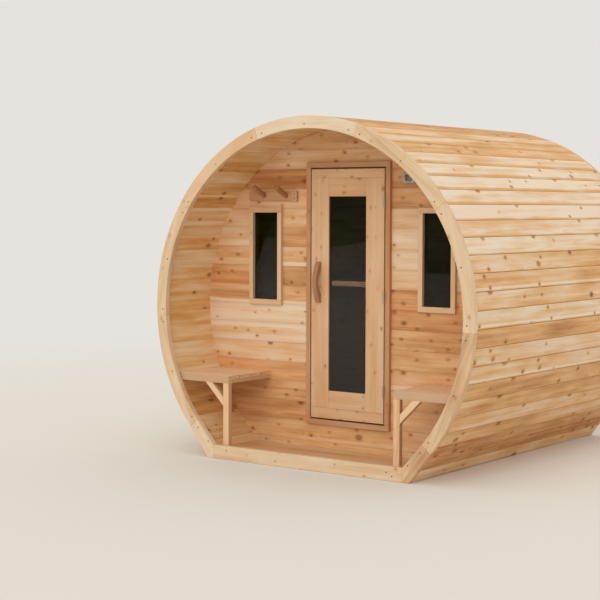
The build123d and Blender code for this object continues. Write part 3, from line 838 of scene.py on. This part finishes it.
def ring_foot(side, front, back, tone, settings):
    """A ring's foot: straight from the last joint to the ground, cut off by the sill's end.

    It is a board whose section is seen from the front, but its grain runs along its outer side.
    """
    joint = np.array([sin(RING_JOINT), cos(RING_JOINT)])
    corners = np.array([
        (HULL_RADIUS - RING_SHY) * joint + [0, CENTRE_HEIGHT],
        (hull_point(HULL_RADIUS, STAVES_PER_SIDE)[0] - RING_SHY, 0),
        (SILL_HIGH.x, 0),
        (SILL_HIGH.x, SILL_HIGH.z),
        RING_INNER_RADIUS * joint + [0, CENTRE_HEIGHT],
    ]) * [side, 1]
    points = board(corners, front, back, np.eye(3)[DEEP_FLAT], tone, settings.ring_ease).points
    sections = points[..., [0, 2]]
    along = (corners[0] - corners[1]) / np.linalg.norm(corners[0] - corners[1])
    turn = joined(along, [-along[1], along[0]])
    local = (sections - sections[1].mean(axis=0)) @ turn
    return Shell(points, np.concatenate([local, points[..., [1]] - front], axis=-1), tone)


class SAUNA_OT_rings(bpy.types.Operator):
    """Makes both rings from arcs and feet, and the sills between the feet"""

    bl_idname = "sauna.rings"
    bl_label = "Rings and sills"

    def execute(self, context):
        settings = context.scene.sauna_hull
        tone = tones(1)
        for end, *faces in (
            ("front", RING_FRONT + RING_SHY, HULL_FRONT), ("back", HULL_BACK, RING_BACK - RING_SHY),
        ):
            arcs = [ring_arc(k, *faces, tone(word), settings) for k, word in enumerate(RING_TONES)]
            feet = [ring_foot(side, *faces, tone(word), settings) for side, word in FOOT_TONES]
            for name, shells in (("odd", arcs[::2]), ("even", arcs[1::2] + feet)):
                make_piece(f"{end}_ring_{name}", shells, "ring", f"{end}_ring_{name}_arcs")
            x, _, z = box_of(f"{end}_sill")
            sill = block(x, faces, z, LEVEL_UPRIGHT, tone("light"), settings.ring_ease)
            make_piece(f"{end}_sill_board", [sill], "ring", f"{end}_sill")
        return {"FINISHED"}


class SAUNA_OT_floors(bpy.types.Operator):
    """Makes the joists and the boards of both floors"""

    bl_idname = "sauna.floors"
    bl_label = "Floors"

    def execute(self, context):
        settings = context.scene.sauna_walls
        tone = tones(2)
        x, y, z = box_of("floor_joists")
        joists = [
            block((left, left + JOIST_WIDTH), y, z, DEEP_FLAT, tone("tan"), ease=0.003)
            for left in np.linspace(x[0], x[1] - JOIST_WIDTH, JOISTS)
        ]
        make_piece("joists", joists, "floor", "floor_joists")
        for node in ("porch_floor", "room_floor"):
            _, y, z = box_of(node)
            edges = np.linspace(*y, round((y[1] - y[0]) / settings.floor_board) + 1)
            boards = [
                shelf_board(edge, z, -1, 1, tone(word), settings.ease)
                for *edge, word in zip(edges[:-1], edges[1:], cycle(FLOOR_TONES))
            ]
            make_piece(f"{node}_boards", boards, "floor", node)
        return {"FINISHED"}


def clear_spans(low, high, holes):
    """Runs of a wall board between the holes that cut it through.

    Each run is a list of stretches (from, to, bottom, top). A hole that takes only the lower or
    upper part of the board gives a stretch of its own, with less height.
    """
    runs = [[[-inf, inf, low, high]]]
    for left, right, bottom, top in sorted(holes):
        if top <= low or bottom >= high:
            continue
        runs[-1][-1][1] = left
        rest = [right, inf, low, high]
        if bottom <= low and top >= high:
            runs.append([rest])
        elif bottom <= low:
            runs[-1] += [[left, right, top, high], rest]
        else:
            runs[-1] += [[left, right, low, bottom], rest]
    return runs


def wall_board(run, front, back, tone, ease):
    """One board of a wall, from hull or hole to hull or hole.

    Its section is an eased rectangle. Each stretch gives two sections, and where the height
    steps at a hole, the next stretch starts a hair further on. An end without a hole follows
    the staves at each point's own height.
    """
    hair, seam_reach = 0.0002, ease * 1.5
    sections, lengths = [], []
    for left, right, bottom, top in run:
        outline = eased(rectangle(bottom, top, front, back), ease, cuts=6)
        clear = half_width(outline[:, 0])
        sections += [outline, outline]
        lengths.append(-clear if left == -inf else np.full(len(clear), left + hair))
        lengths.append(clear if right == inf else np.full(len(clear), right - hair))
    local = np.concatenate([np.array(lengths)[..., None], sections], axis=-1)
    middle = np.array([0, (run[0][2] + run[0][3]) / 2, (front + back) / 2])
    places = np.array([edge_places(outline[:, 0], seam_reach) for outline in sections])
    return Shell(local @ np.eye(3)[LEVEL_UPRIGHT], local - middle, tone, *places.swapaxes(0, 1))


def wall_rows(settings):
    """Bottom and top of each row of a wall's boards, from the floor up."""
    lowest_row = 0.02
    first = settings.board_seam % settings.board_pitch
    seams = np.arange(first, BARREL_TOP - settings.board_pitch / 2, settings.board_pitch)
    edges = [FLOOR_LOW, *seams[seams > FLOOR_LOW + lowest_row], BARREL_TOP]
    return zip(edges[:-1], edges[1:])


class SAUNA_OT_front_wall(bpy.types.Operator):
    """Makes the boards of the wall between porch and room, cut out for the door and windows"""

    bl_idname = "sauna.front_wall"
    bl_label = "Front wall"

    def execute(self, context):
        settings = context.scene.sauna_walls
        tone = tones(3)
        x, _, (_, top) = box_of("door_head")
        holes = [(*x, box_of("door_sill")[2, 0], top)]
        for side in ("left", "right"):
            x, _, z = box_of(f"{side}_window_frame") + WINDOW_LAP
            holes.append((*x, *z))
        shells = []
        for row, edges in enumerate(wall_rows(settings)):
            for run in clear_spans(*edges, holes):
                start, end = run[0][0], run[-1][1]
                if start < -WINDOWS_FROM:
                    words = WALL_TONES[0 if end < -WINDOWS_FROM else 1]
                else:
                    words = WALL_TONES[3 if start > WINDOWS_FROM else 2]
                shade = tone(words[min(row, len(words) - 1)], spread=0.04)
                shells.append(wall_board(run, WALL_FACE, WALL_INSIDE, shade, settings.ease))
        parts = (f"front_wall_{part}" for part in ("left", "right", "over_door", "below_door"))
        make_piece("front_wall_boards", shells, "wall", *parts)
        return {"FINISHED"}


class SAUNA_OT_back_wall(bpy.types.Operator):
    """Makes the boards of the back wall"""

    bl_idname = "sauna.back_wall"
    bl_label = "Back wall"

    def execute(self, context):
        settings = context.scene.sauna_walls
        tone = tones(4)
        faces = (BACK_WALL_INSIDE, BACK_WALL_FACE)
        shells = [
            wall_board([[-inf, inf, *edges]], *faces, tone(BACK_WALL_TONES), settings.ease)
            for edges in wall_rows(settings)
        ]
        make_piece("back_wall_boards", shells, "wall", "back_wall")
        return {"FINISHED"}


class SAUNA_OT_windows(bpy.types.Operator):
    """Makes the trims and sleeves of both windows, and gives the panes their glass"""

    bl_idname = "sauna.windows"
    bl_label = "Windows"

    def execute(self, context):
        tone = tones(5)
        side_trim, end_trim, sleeve, sleeve_ease = 0.033, 0.035, 0.016, 0.001
        for side, words in (("left", "tan light orange pink"), ("right", "light pink orange tan")):
            x, (front, _), z = box_of(f"{side}_window_frame")
            edges = border(x, (front, WALL_FACE), z, side_trim, end_trim)
            trims = [block(*place, tone(word)) for place, word in zip(edges.values(), words.split())]
            x, z = x + WINDOW_LAP, z + WINDOW_LAP
            edges = border(x, (WALL_FACE, WALL_INSIDE), z, sleeve, sleeve / 2, level_through=False)
            trims += [
                block(*edges[edge], tone("tan"), sleeve_ease) for edge in ("left", "right", "bottom", "top")
            ]
            make_piece(f"{side}_window_trim", trims, "trim", f"{side}_window_frame")
            repaint(f"{side}_window_glass", "tinted_glass")
        return {"FINISHED"}


class SAUNA_OT_door_frame(bpy.types.Operator):
    """Makes the door frame's head, sill and jambs, with the stop behind the leaf, toned dark as painted shade
    in the gap round the leaf
    """

    bl_idname = "sauna.door_frame"
    bl_label = "Door frame"

    def execute(self, context):
        tone = tones(6)
        width, stop, stop_depth = 0.034, 0.020, 0.017
        x, (front, back), (_, top) = box_of("door_head")
        z = np.array([box_of("door_sill")[2, 0], top])
        inwards = np.array([width, -width])
        boards = border(x, (front, back), z, width, width)
        stops = border(x + inwards, (back - stop_depth, back), z + inwards, stop, stop)
        for part, edge, word in (
            ("head", "top", "tan"), ("sill", "bottom", "tan"),
            ("jamb_left", "left", "tan"), ("jamb_right", "right", "pink"),
        ):
            # The stops get the dark brown tone as painted shade, so that the gap round the leaf looks deep.
            shells = [block(*boards[edge], tone(word)), block(*stops[edge], tone("brown"))]
            make_piece(f"door_{part}_board", shells, "casing", f"door_{part}")
        return {"FINISHED"}


class SAUNA_OT_door_leaf(bpy.types.Operator):
    """Makes the door leaf's bands, stiles and rails, and gives its pane and hinges their finish"""

    bl_idname = "sauna.door_leaf"
    bl_label = "Door leaf"

    def execute(self, context):
        tone = tones(7)
        x, y, (bottom, top) = box_of("door_bands")
        z = low, high = box_of("door_stiles")[2]
        pane, _, (pane_low, pane_high) = box_of("door_glass")
        for name, axes, *boards in (
            ("stiles", STANDING, ((x[0], pane[0]), z, "light"), ((pane[1], x[1]), z, "light")),
            ("bands", LEVEL_UPRIGHT, (x, (bottom, low), "light"), (x, (high, top), "tan")),
            ("rails", LEVEL_UPRIGHT, (pane, (low, pane_low), "light"), (pane, (pane_high, high), "pink")),
        ):
            shells = [block(across, y, z, axes, tone(word)) for across, z, word in boards]
            make_piece(f"leaf_{name}", shells, "door", f"door_{name}", body=DOOR)
        repaint("door_glass", "tinted_glass")
        for node in ("leaf_hinges", "jamb_hinges"):
            repaint(node, "brushed_steel")
        return {"FINISHED"}


def arc_through(start, middle, end, share):
    """Points of the circle through three points in a plane, at shares of the arc.

    The centre solves two equations that set its distances to the points equal.
    """
    start, middle, end = np.array([start, middle, end])
    rows = np.array([middle - start, end - start])
    centre = start + np.linalg.solve(2 * rows, (rows**2).sum(axis=1))
    radius = np.linalg.norm(start - centre)
    turns = np.unwrap([np.arctan2(*(point - centre)[::-1]) for point in (start, middle, end)])
    turn = turns[0] + (turns[2] - turns[0]) * share
    return centre + radius * joined(np.cos(turn), np.sin(turn))


class SAUNA_OT_handle(bpy.types.Operator):
    """Makes the bow handle of the door"""

    bl_idname = "sauna.handle"
    bl_label = "Handle"

    def execute(self, context):
        """Seen from the side, the handle lies between two lines: its outer one is an arc between
        its blunt ends, and its inner one runs along the door at both feet and over the finger
        gap in an arc. The section between each pair of points is a superellipse, which narrows
        a little towards the middle and at the very ends."""
        (left, right), (reach, face), (low, high) = box_of("door_handle")
        foot, finger_gap, end_depth = 0.062, 0.030, 0.014
        end_shares, end_sizes = [0, 0.004, 0.012], [0.86, 0.96, 1]
        middle = (low + high) / 2
        share = np.array([*end_shares, *np.linspace(0.03, 0.97, 45), 0.988, 0.996, 1])
        from_end = np.minimum(share, 1 - share)
        outer = arc_through((face - end_depth, low), (reach, middle), (face - end_depth, high), share)
        foot_share = foot / (high - low)
        over_gap = np.clip((share - foot_share) / (1 - 2 * foot_share), 0, 1)
        inner = arc_through((face, low + foot), (face - finger_gap, middle), (face, high - foot), over_gap)
        on_door = joined(face, low + share * (high - low))
        inner = np.where((from_end < foot_share)[:, None], on_door, inner)
        turn = np.linspace(0, 2 * pi, 24, endpoint=False)
        out, aside = (np.sign(wave) * np.abs(wave) ** 0.5 for wave in (np.cos(turn), np.sin(turn)))
        blunt = np.interp(from_end, end_shares, end_sizes)
        half_wide = (right - left) / 2 * (1 - 0.10 * np.sin(pi * share) ** 2) * blunt
        spread = 0.5 + 0.5 * out[None, :] * blunt[:, None]
        place = inner[:, None] + (outer - inner)[:, None] * spread[..., None]
        across = (left + right) / 2 + half_wide[:, None] * aside
        points = np.concatenate([across[..., None], place], axis=-1)
        grain = joined(points[..., 2], across - across.mean(), points[..., 1] - face)
        shell = Shell(points, grain, tones(8)("tan"))
        make_piece("bow_handle", [shell], "handle", "door_handle", body=DOOR, smooth=True)
        return {"FINISHED"}


def turned(start, direction, stations, radii, tone):
    """Turned piece: circles of given radii at given distances along a line."""
    direction = np.asarray(direction, float) / np.linalg.norm(direction)
    first = np.cross(direction, [0.0, 0.0, 1.0])
    first /= np.linalg.norm(first)
    second = np.cross(direction, first)
    turn = np.linspace(0, 2 * pi, 20, endpoint=False)[:, None]
    stations = np.asarray(stations, float)[:, None, None]
    round_part = np.asarray(radii, float)[:, None, None] * (np.cos(turn) * first + np.sin(turn) * second)
    points = np.asarray(start) + stations * direction + round_part
    return Shell(points, joined(stations[..., 0], round_part @ first, round_part @ second), tone)


def screw_head(place, normal, radius):
    """Screw head, almost flush: rings of points round its middle, with a dip in the middle."""
    stations = [-0.0008, 0.0003, 0.0005, 0.0004, 0.0001]
    return turned(place, normal, stations, np.array([1, 1, 0.85, 0.6, 0.3]) * radius, np.zeros(4))


class SAUNA_OT_robe_rail(bpy.types.Operator):
    """Makes the rail over the left window, with its end block and pegs, and finishes the vent"""

    bl_idname = "sauna.robe_rail"
    bl_label = "Robe rail"

    def execute(self, context):
        tone = tones(9)
        (left, right), _, (bottom, _) = box_of("robe_rail")
        thickness, height, end_block = 0.020, 0.070, 0.046
        lower, gap, narrower = 0.003, 0.0015, 0.004
        top, joint = bottom + height, right - end_block
        face = WALL_FACE - thickness
        rail = block(
            (left, joint - gap), (face + lower, WALL_FACE), (bottom + narrower, top - narrower),
            LEVEL_UPRIGHT, tone("pink"), ease=0.003,
        )
        end = block(
            (joint, right), (face, WALL_FACE), (bottom, top), LEVEL_UPRIGHT, tone("light"), ease=0.0025
        )
        make_piece("robe_rail_board", [rail, end], "casing", "robe_rail")
        screw_radius, screw_shares = 0.0042, (0.28, 0.74)
        screws = [
            screw_head((joint + end_block / 2, face, bottom + height * share), (0, -1, 0), screw_radius)
            for share in screw_shares
        ]
        make_piece("rail_screws", screws, "dark_bronze", slot="hinge_steel", smooth=True)
        length, rise, first_peg, peg_pitch = 0.135, radians(27), 0.088, 0.183
        share = np.linspace(0, 1, 9)
        stations = [*(share * (length - 0.007)), length - 0.003, length - 0.0008, length]
        radii = [*(0.015 + 0.003 * share), 0.0168, 0.0145, 0.0115]
        pegs = [
            turned(
                (right - first_peg - number * peg_pitch, WALL_FACE - thickness / 2, bottom + height / 2),
                (0, -cos(rise), sin(rise)), stations, radii, tone("orange"),
            )
            for number in range(2)
        ]
        make_piece("pegs", pegs, "handle", smooth=True)
        repaint("vent", "vent_grey")
        return {"FINISHED"}


def seat(name, count, start, end, words, tone):
    """The piece of a seat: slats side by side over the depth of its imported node."""
    _, (front, back), z = box_of(f"{name}_bench_seat")
    width = (back - front - (count - 1) * SLAT_GAP) / count
    slats = [
        shelf_board((y, y + width), z, start, end, tone(word))
        for y, word in zip(front + np.arange(count) * (width + SLAT_GAP), words)
    ]
    make_piece(f"{name}_bench_slats", slats, "bench", f"{name}_bench_seat")


class SAUNA_OT_benches(bpy.types.Operator):
    """Makes the two porch benches and the raised bench in the room"""

    bl_idname = "sauna.benches"
    bl_label = "Benches"

    def execute(self, context):
        tone = tones(10)
        rail, rail_height, leg, leg_depth, drop, brace, ease = 0.038, 0.028, 0.046, 0.034, 0.148, 0.040, 0.002
        for name, side, leg_word in (("left", -1, "light"), ("right", 1, "orange")):
            inner = box_of(f"{name}_bench_seat")[0, 1 if side < 0 else 0]
            ends = (side, inner) if side < 0 else (inner, side)
            # The pale tones of the porch seats' slats are painted light, for the sky light that falls on the
            # seat's top.
            seat(name, 4, *ends, ("pale", "light", "pale", "light"), tone)
            _, (front, back), (_, top) = box_of(f"{name}_bench_frame")
            under = top - rail_height
            slope = np.array([[side, 0, 1], [-side, 0, 1], [0, sqrt(2), 0]]) / sqrt(2)
            shells = [
                shelf_board((front, front + rail), (under, top), *ends, tone("light")),
                shelf_board((back - rail, back), (under, top), *ends, tone("tan")),
                block(
                    sorted((inner, inner + side * rail)), (front + rail, back - rail), (under, top),
                    DEEP_FLAT, tone("light"),
                ),
                block(
                    sorted((inner, inner + side * leg)), (front, front + leg_depth), (FLOOR_TOP, under),
                    STANDING, tone(leg_word), ease,
                ),
                board(
                    rectangle(0, brace, 0, leg_depth),
                    lambda section: section[:, 0], lambda section: drop * sqrt(2) - section[:, 0],
                    slope, tone("light"), ease, (inner + side * leg, front, under - drop),
                ),
            ]
            make_piece(f"{name}_bench_legs", shells, "bench", f"{name}_bench_frame")
        seat("inner", 5, -1, 1, ["pale"] * 5, tone)
        _, (front, back), z = box_of("inner_bench_frame")
        shells = [
            shelf_board((front, front + rail), z, -1, 1, tone("pale")),
            shelf_board((back - rail, back), z, -1, 1, tone("tan")),
        ]
        shells += [
            block((x - rail / 2, x + rail / 2), (front + rail, back - rail), z, DEEP_FLAT, tone("tan"))
            for x in half_width(z[0]) * np.array([-0.5, 0, 0.5])
        ]
        make_piece("inner_bench_rails", shells, "bench", "inner_bench_frame")
        return {"FINISHED"}


class SAUNA_OT_screws(bpy.types.Operator):
    """Makes the screws in the rings and sills: a pair beside each joint, one in each arc's middle"""

    bl_idname = "sauna.screws"
    bl_label = "Screws"

    def execute(self, context):
        beside, foot = radians(2.1), radians(8)
        joints = RING_JOINT - np.arange(RING_ARCS + 1) * RING_ARC
        turns = np.concatenate([
            joints - beside, joints + beside, joints[:-1] - RING_ARC / 2,
            [RING_JOINT + foot, -RING_JOINT - foot],
        ])
        places = SCREW_CIRCLE * joined(np.sin(turns), np.cos(turns)) + [0, CENTRE_HEIGHT]
        radius = context.scene.sauna_hull.screw_radius
        for end, face, normal in (
            ("front", RING_FRONT + RING_SHY, -1), ("back", RING_BACK - RING_SHY, 1),
        ):
            heads = [screw_head((x, face, z), (0, normal, 0), radius) for x, z in (*places, *SILL_SCREWS)]
            make_piece(f"{end}_screws", heads, "dark_bronze", slot="hinge_steel", smooth=True)
        return {"FINISHED"}


def seen_rays(tree):
    """1 for rays from the camera, and for those that glass and gloss send on."""
    path = add_node(tree, "LightPath").outputs
    seen = maths(tree, "ADD", path["Is Camera Ray"], path["Is Glossy Ray"])
    return maths(tree, "ADD", seen, path["Is Transmission Ray"], clamp=True)


def floor_paint(name, colour):
    """Plain pale floor that fades to the background's own colour far from the object."""
    material, tree, shader = new_material(name)
    place = object_place(tree)
    speckle = times(tree, noise(tree, place, (6.0, 6.0, 6.0), 3.0), 0.05)
    painted = blend_colours(tree, speckle, colour, (0.8, 0.79, 0.77))
    plug(tree, shader, {"Base Color": painted, "Roughness": 0.9, "Specular IOR Level": 0.1})
    distance = vectors(tree, "LENGTH", place)
    share = times(tree, fade(tree, distance, 4.0, 10.0), seen_rays(tree))
    far = add_node(tree, "Emission", {"Color": linear(colour), "Strength": 1.0})
    mixed = add_node(tree, "MixShader", {0: share, 1: shader.outputs[0], 2: far.outputs[0]})
    tree.links.new(mixed.outputs[0], tree.get_output_node("ALL").inputs[0])
    return material


def add_lamp(name, kind, place, target, power, **settings):
    """Lamp at a place that shines on a target. The camera doesn't see it, and gloss doesn't."""
    lamp = bpy.data.lights.new(name, kind)
    for key, value in (settings | {"energy": power}).items():
        setattr(lamp, key, value)
    made = add_object(name, lamp)
    made.location = place
    made.rotation_euler = (Vector(target) - Vector(place)).to_track_quat("-Z", "Y").to_euler()
    made.visible_camera = made.visible_glossy = False


class SAUNA_OT_stage(bpy.types.Operator):
    """Makes the floor, the light and the camera"""

    bl_idname = "sauna.stage"
    bl_label = "Stage"

    def execute(self, context):
        settings = context.scene.sauna_stage
        scene = context.scene
        sides, radius, height = 48, 40, -0.001
        turn = np.linspace(0, 2 * pi, sides, endpoint=False)
        rim = joined(radius * np.cos(turn), radius * np.sin(turn), height)
        mesh = bpy.data.meshes.new("stage_floor")
        mesh.from_pydata(rim.tolist(), [], [list(range(sides))])
        mesh.materials.append(floor_paint("floor_paint", settings.floor_colour))
        add_object("stage_floor", mesh)

        world = bpy.data.worlds.new("studio")
        world.use_nodes = True
        tree = world.node_tree
        tree.nodes.clear()
        seen = seen_rays(tree)
        even = settings.sky_strength
        strength = scaled(tree, seen, 1.0 - even, even)
        colour = blend_colours(tree, seen, settings.sky_colour, settings.floor_colour)
        light = add_node(tree, "Background", {"Color": colour, "Strength": strength})
        add_node(tree, "OutputWorld", {0: light.outputs[0]})
        scene.world = world

        warm, lamp_tint = (1.0, 0.975, 0.94), (1.0, 0.86, 0.70)
        for name, place, power, angle in (
            ("roof_sun", (0.3, -0.3, 5), settings.roof_sun, 60),
            ("porch_sun", (1.7, -5, 2.3), settings.porch_sun, 55),
        ):
            add_lamp(name, "SUN", place, (0, 0, 0), power, angle=radians(angle), color=warm)
        add_lamp(
            "room_lamp", "AREA", (-0.9, 0.45, 1.07), (-0.9, 0.52, 1.07), settings.room_lamp,
            shape="RECTANGLE", size=0.5, size_y=0.02, color=lamp_tint,
        )

        yaw, pitch, roll = settings.camera_turn
        ahead = Vector((-sin(yaw) * cos(pitch), cos(yaw) * cos(pitch), -sin(pitch)))
        level = Vector((cos(yaw), sin(yaw), 0))
        upward = level.cross(ahead)
        right = cos(roll) * level + sin(roll) * upward
        up = -sin(roll) * level + cos(roll) * upward
        camera = bpy.data.cameras.new("camera")
        camera.lens = settings.lens
        camera.sensor_width = 36.0
        camera.sensor_fit = "HORIZONTAL"
        camera.clip_end = 200.0
        scene.camera = add_object("camera", camera)
        turn_matrix = Matrix((right, up, -ahead)).transposed().to_4x4()
        scene.camera.matrix_world = Matrix.Translation(settings.camera_place) @ turn_matrix
        scene.view_settings.view_transform = "Standard"
        return {"FINISHED"}


class SAUNA_PT_panel(bpy.types.Panel):
    """Lists the steps and their settings"""

    bl_idname = "SAUNA_PT_panel"
    bl_label = "Barrel Sauna"
    bl_space_type = "VIEW_3D"
    bl_region_type = "UI"
    bl_category = "Sauna"

    def draw(self, context):
        for group in GROUPS:
            settings = getattr(context.scene, group)
            box = self.layout.box()
            for name in settings.bl_rna.properties.keys():
                if name not in ("rna_type", "name"):
                    box.prop(settings, name)
        for operator in OPERATORS:
            self.layout.operator(operator.bl_idname)


GROUPS = {
    "sauna_timber": TimberSettings, "sauna_hull": HullSettings,
    "sauna_walls": WallSettings, "sauna_stage": StageSettings,
}
OPERATORS = (
    SAUNA_OT_stage, SAUNA_OT_staves, SAUNA_OT_rings, SAUNA_OT_floors, SAUNA_OT_front_wall,
    SAUNA_OT_back_wall, SAUNA_OT_windows, SAUNA_OT_door_frame, SAUNA_OT_door_leaf, SAUNA_OT_handle,
    SAUNA_OT_robe_rail, SAUNA_OT_benches, SAUNA_OT_screws,
)


def register():
    """Registers all classes and hangs the settings on the scene."""
    for made in (*GROUPS.values(), *OPERATORS, SAUNA_PT_panel):
        bpy.utils.register_class(made)
    for name, group in GROUPS.items():
        setattr(bpy.types.Scene, name, PointerProperty(type=group))


def unregister():
    """Takes the settings and classes away again."""
    for name in GROUPS:
        delattr(bpy.types.Scene, name)
    for made in reversed((*GROUPS.values(), *OPERATORS, SAUNA_PT_panel)):
        bpy.utils.unregister_class(made)


def main():
    """Makes every piece in order."""
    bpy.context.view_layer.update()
    register()
    for operator in OPERATORS:
        group, name = operator.bl_idname.split(".")
        getattr(getattr(bpy.ops, group), name)()


if __name__ == "__main__":
    main()
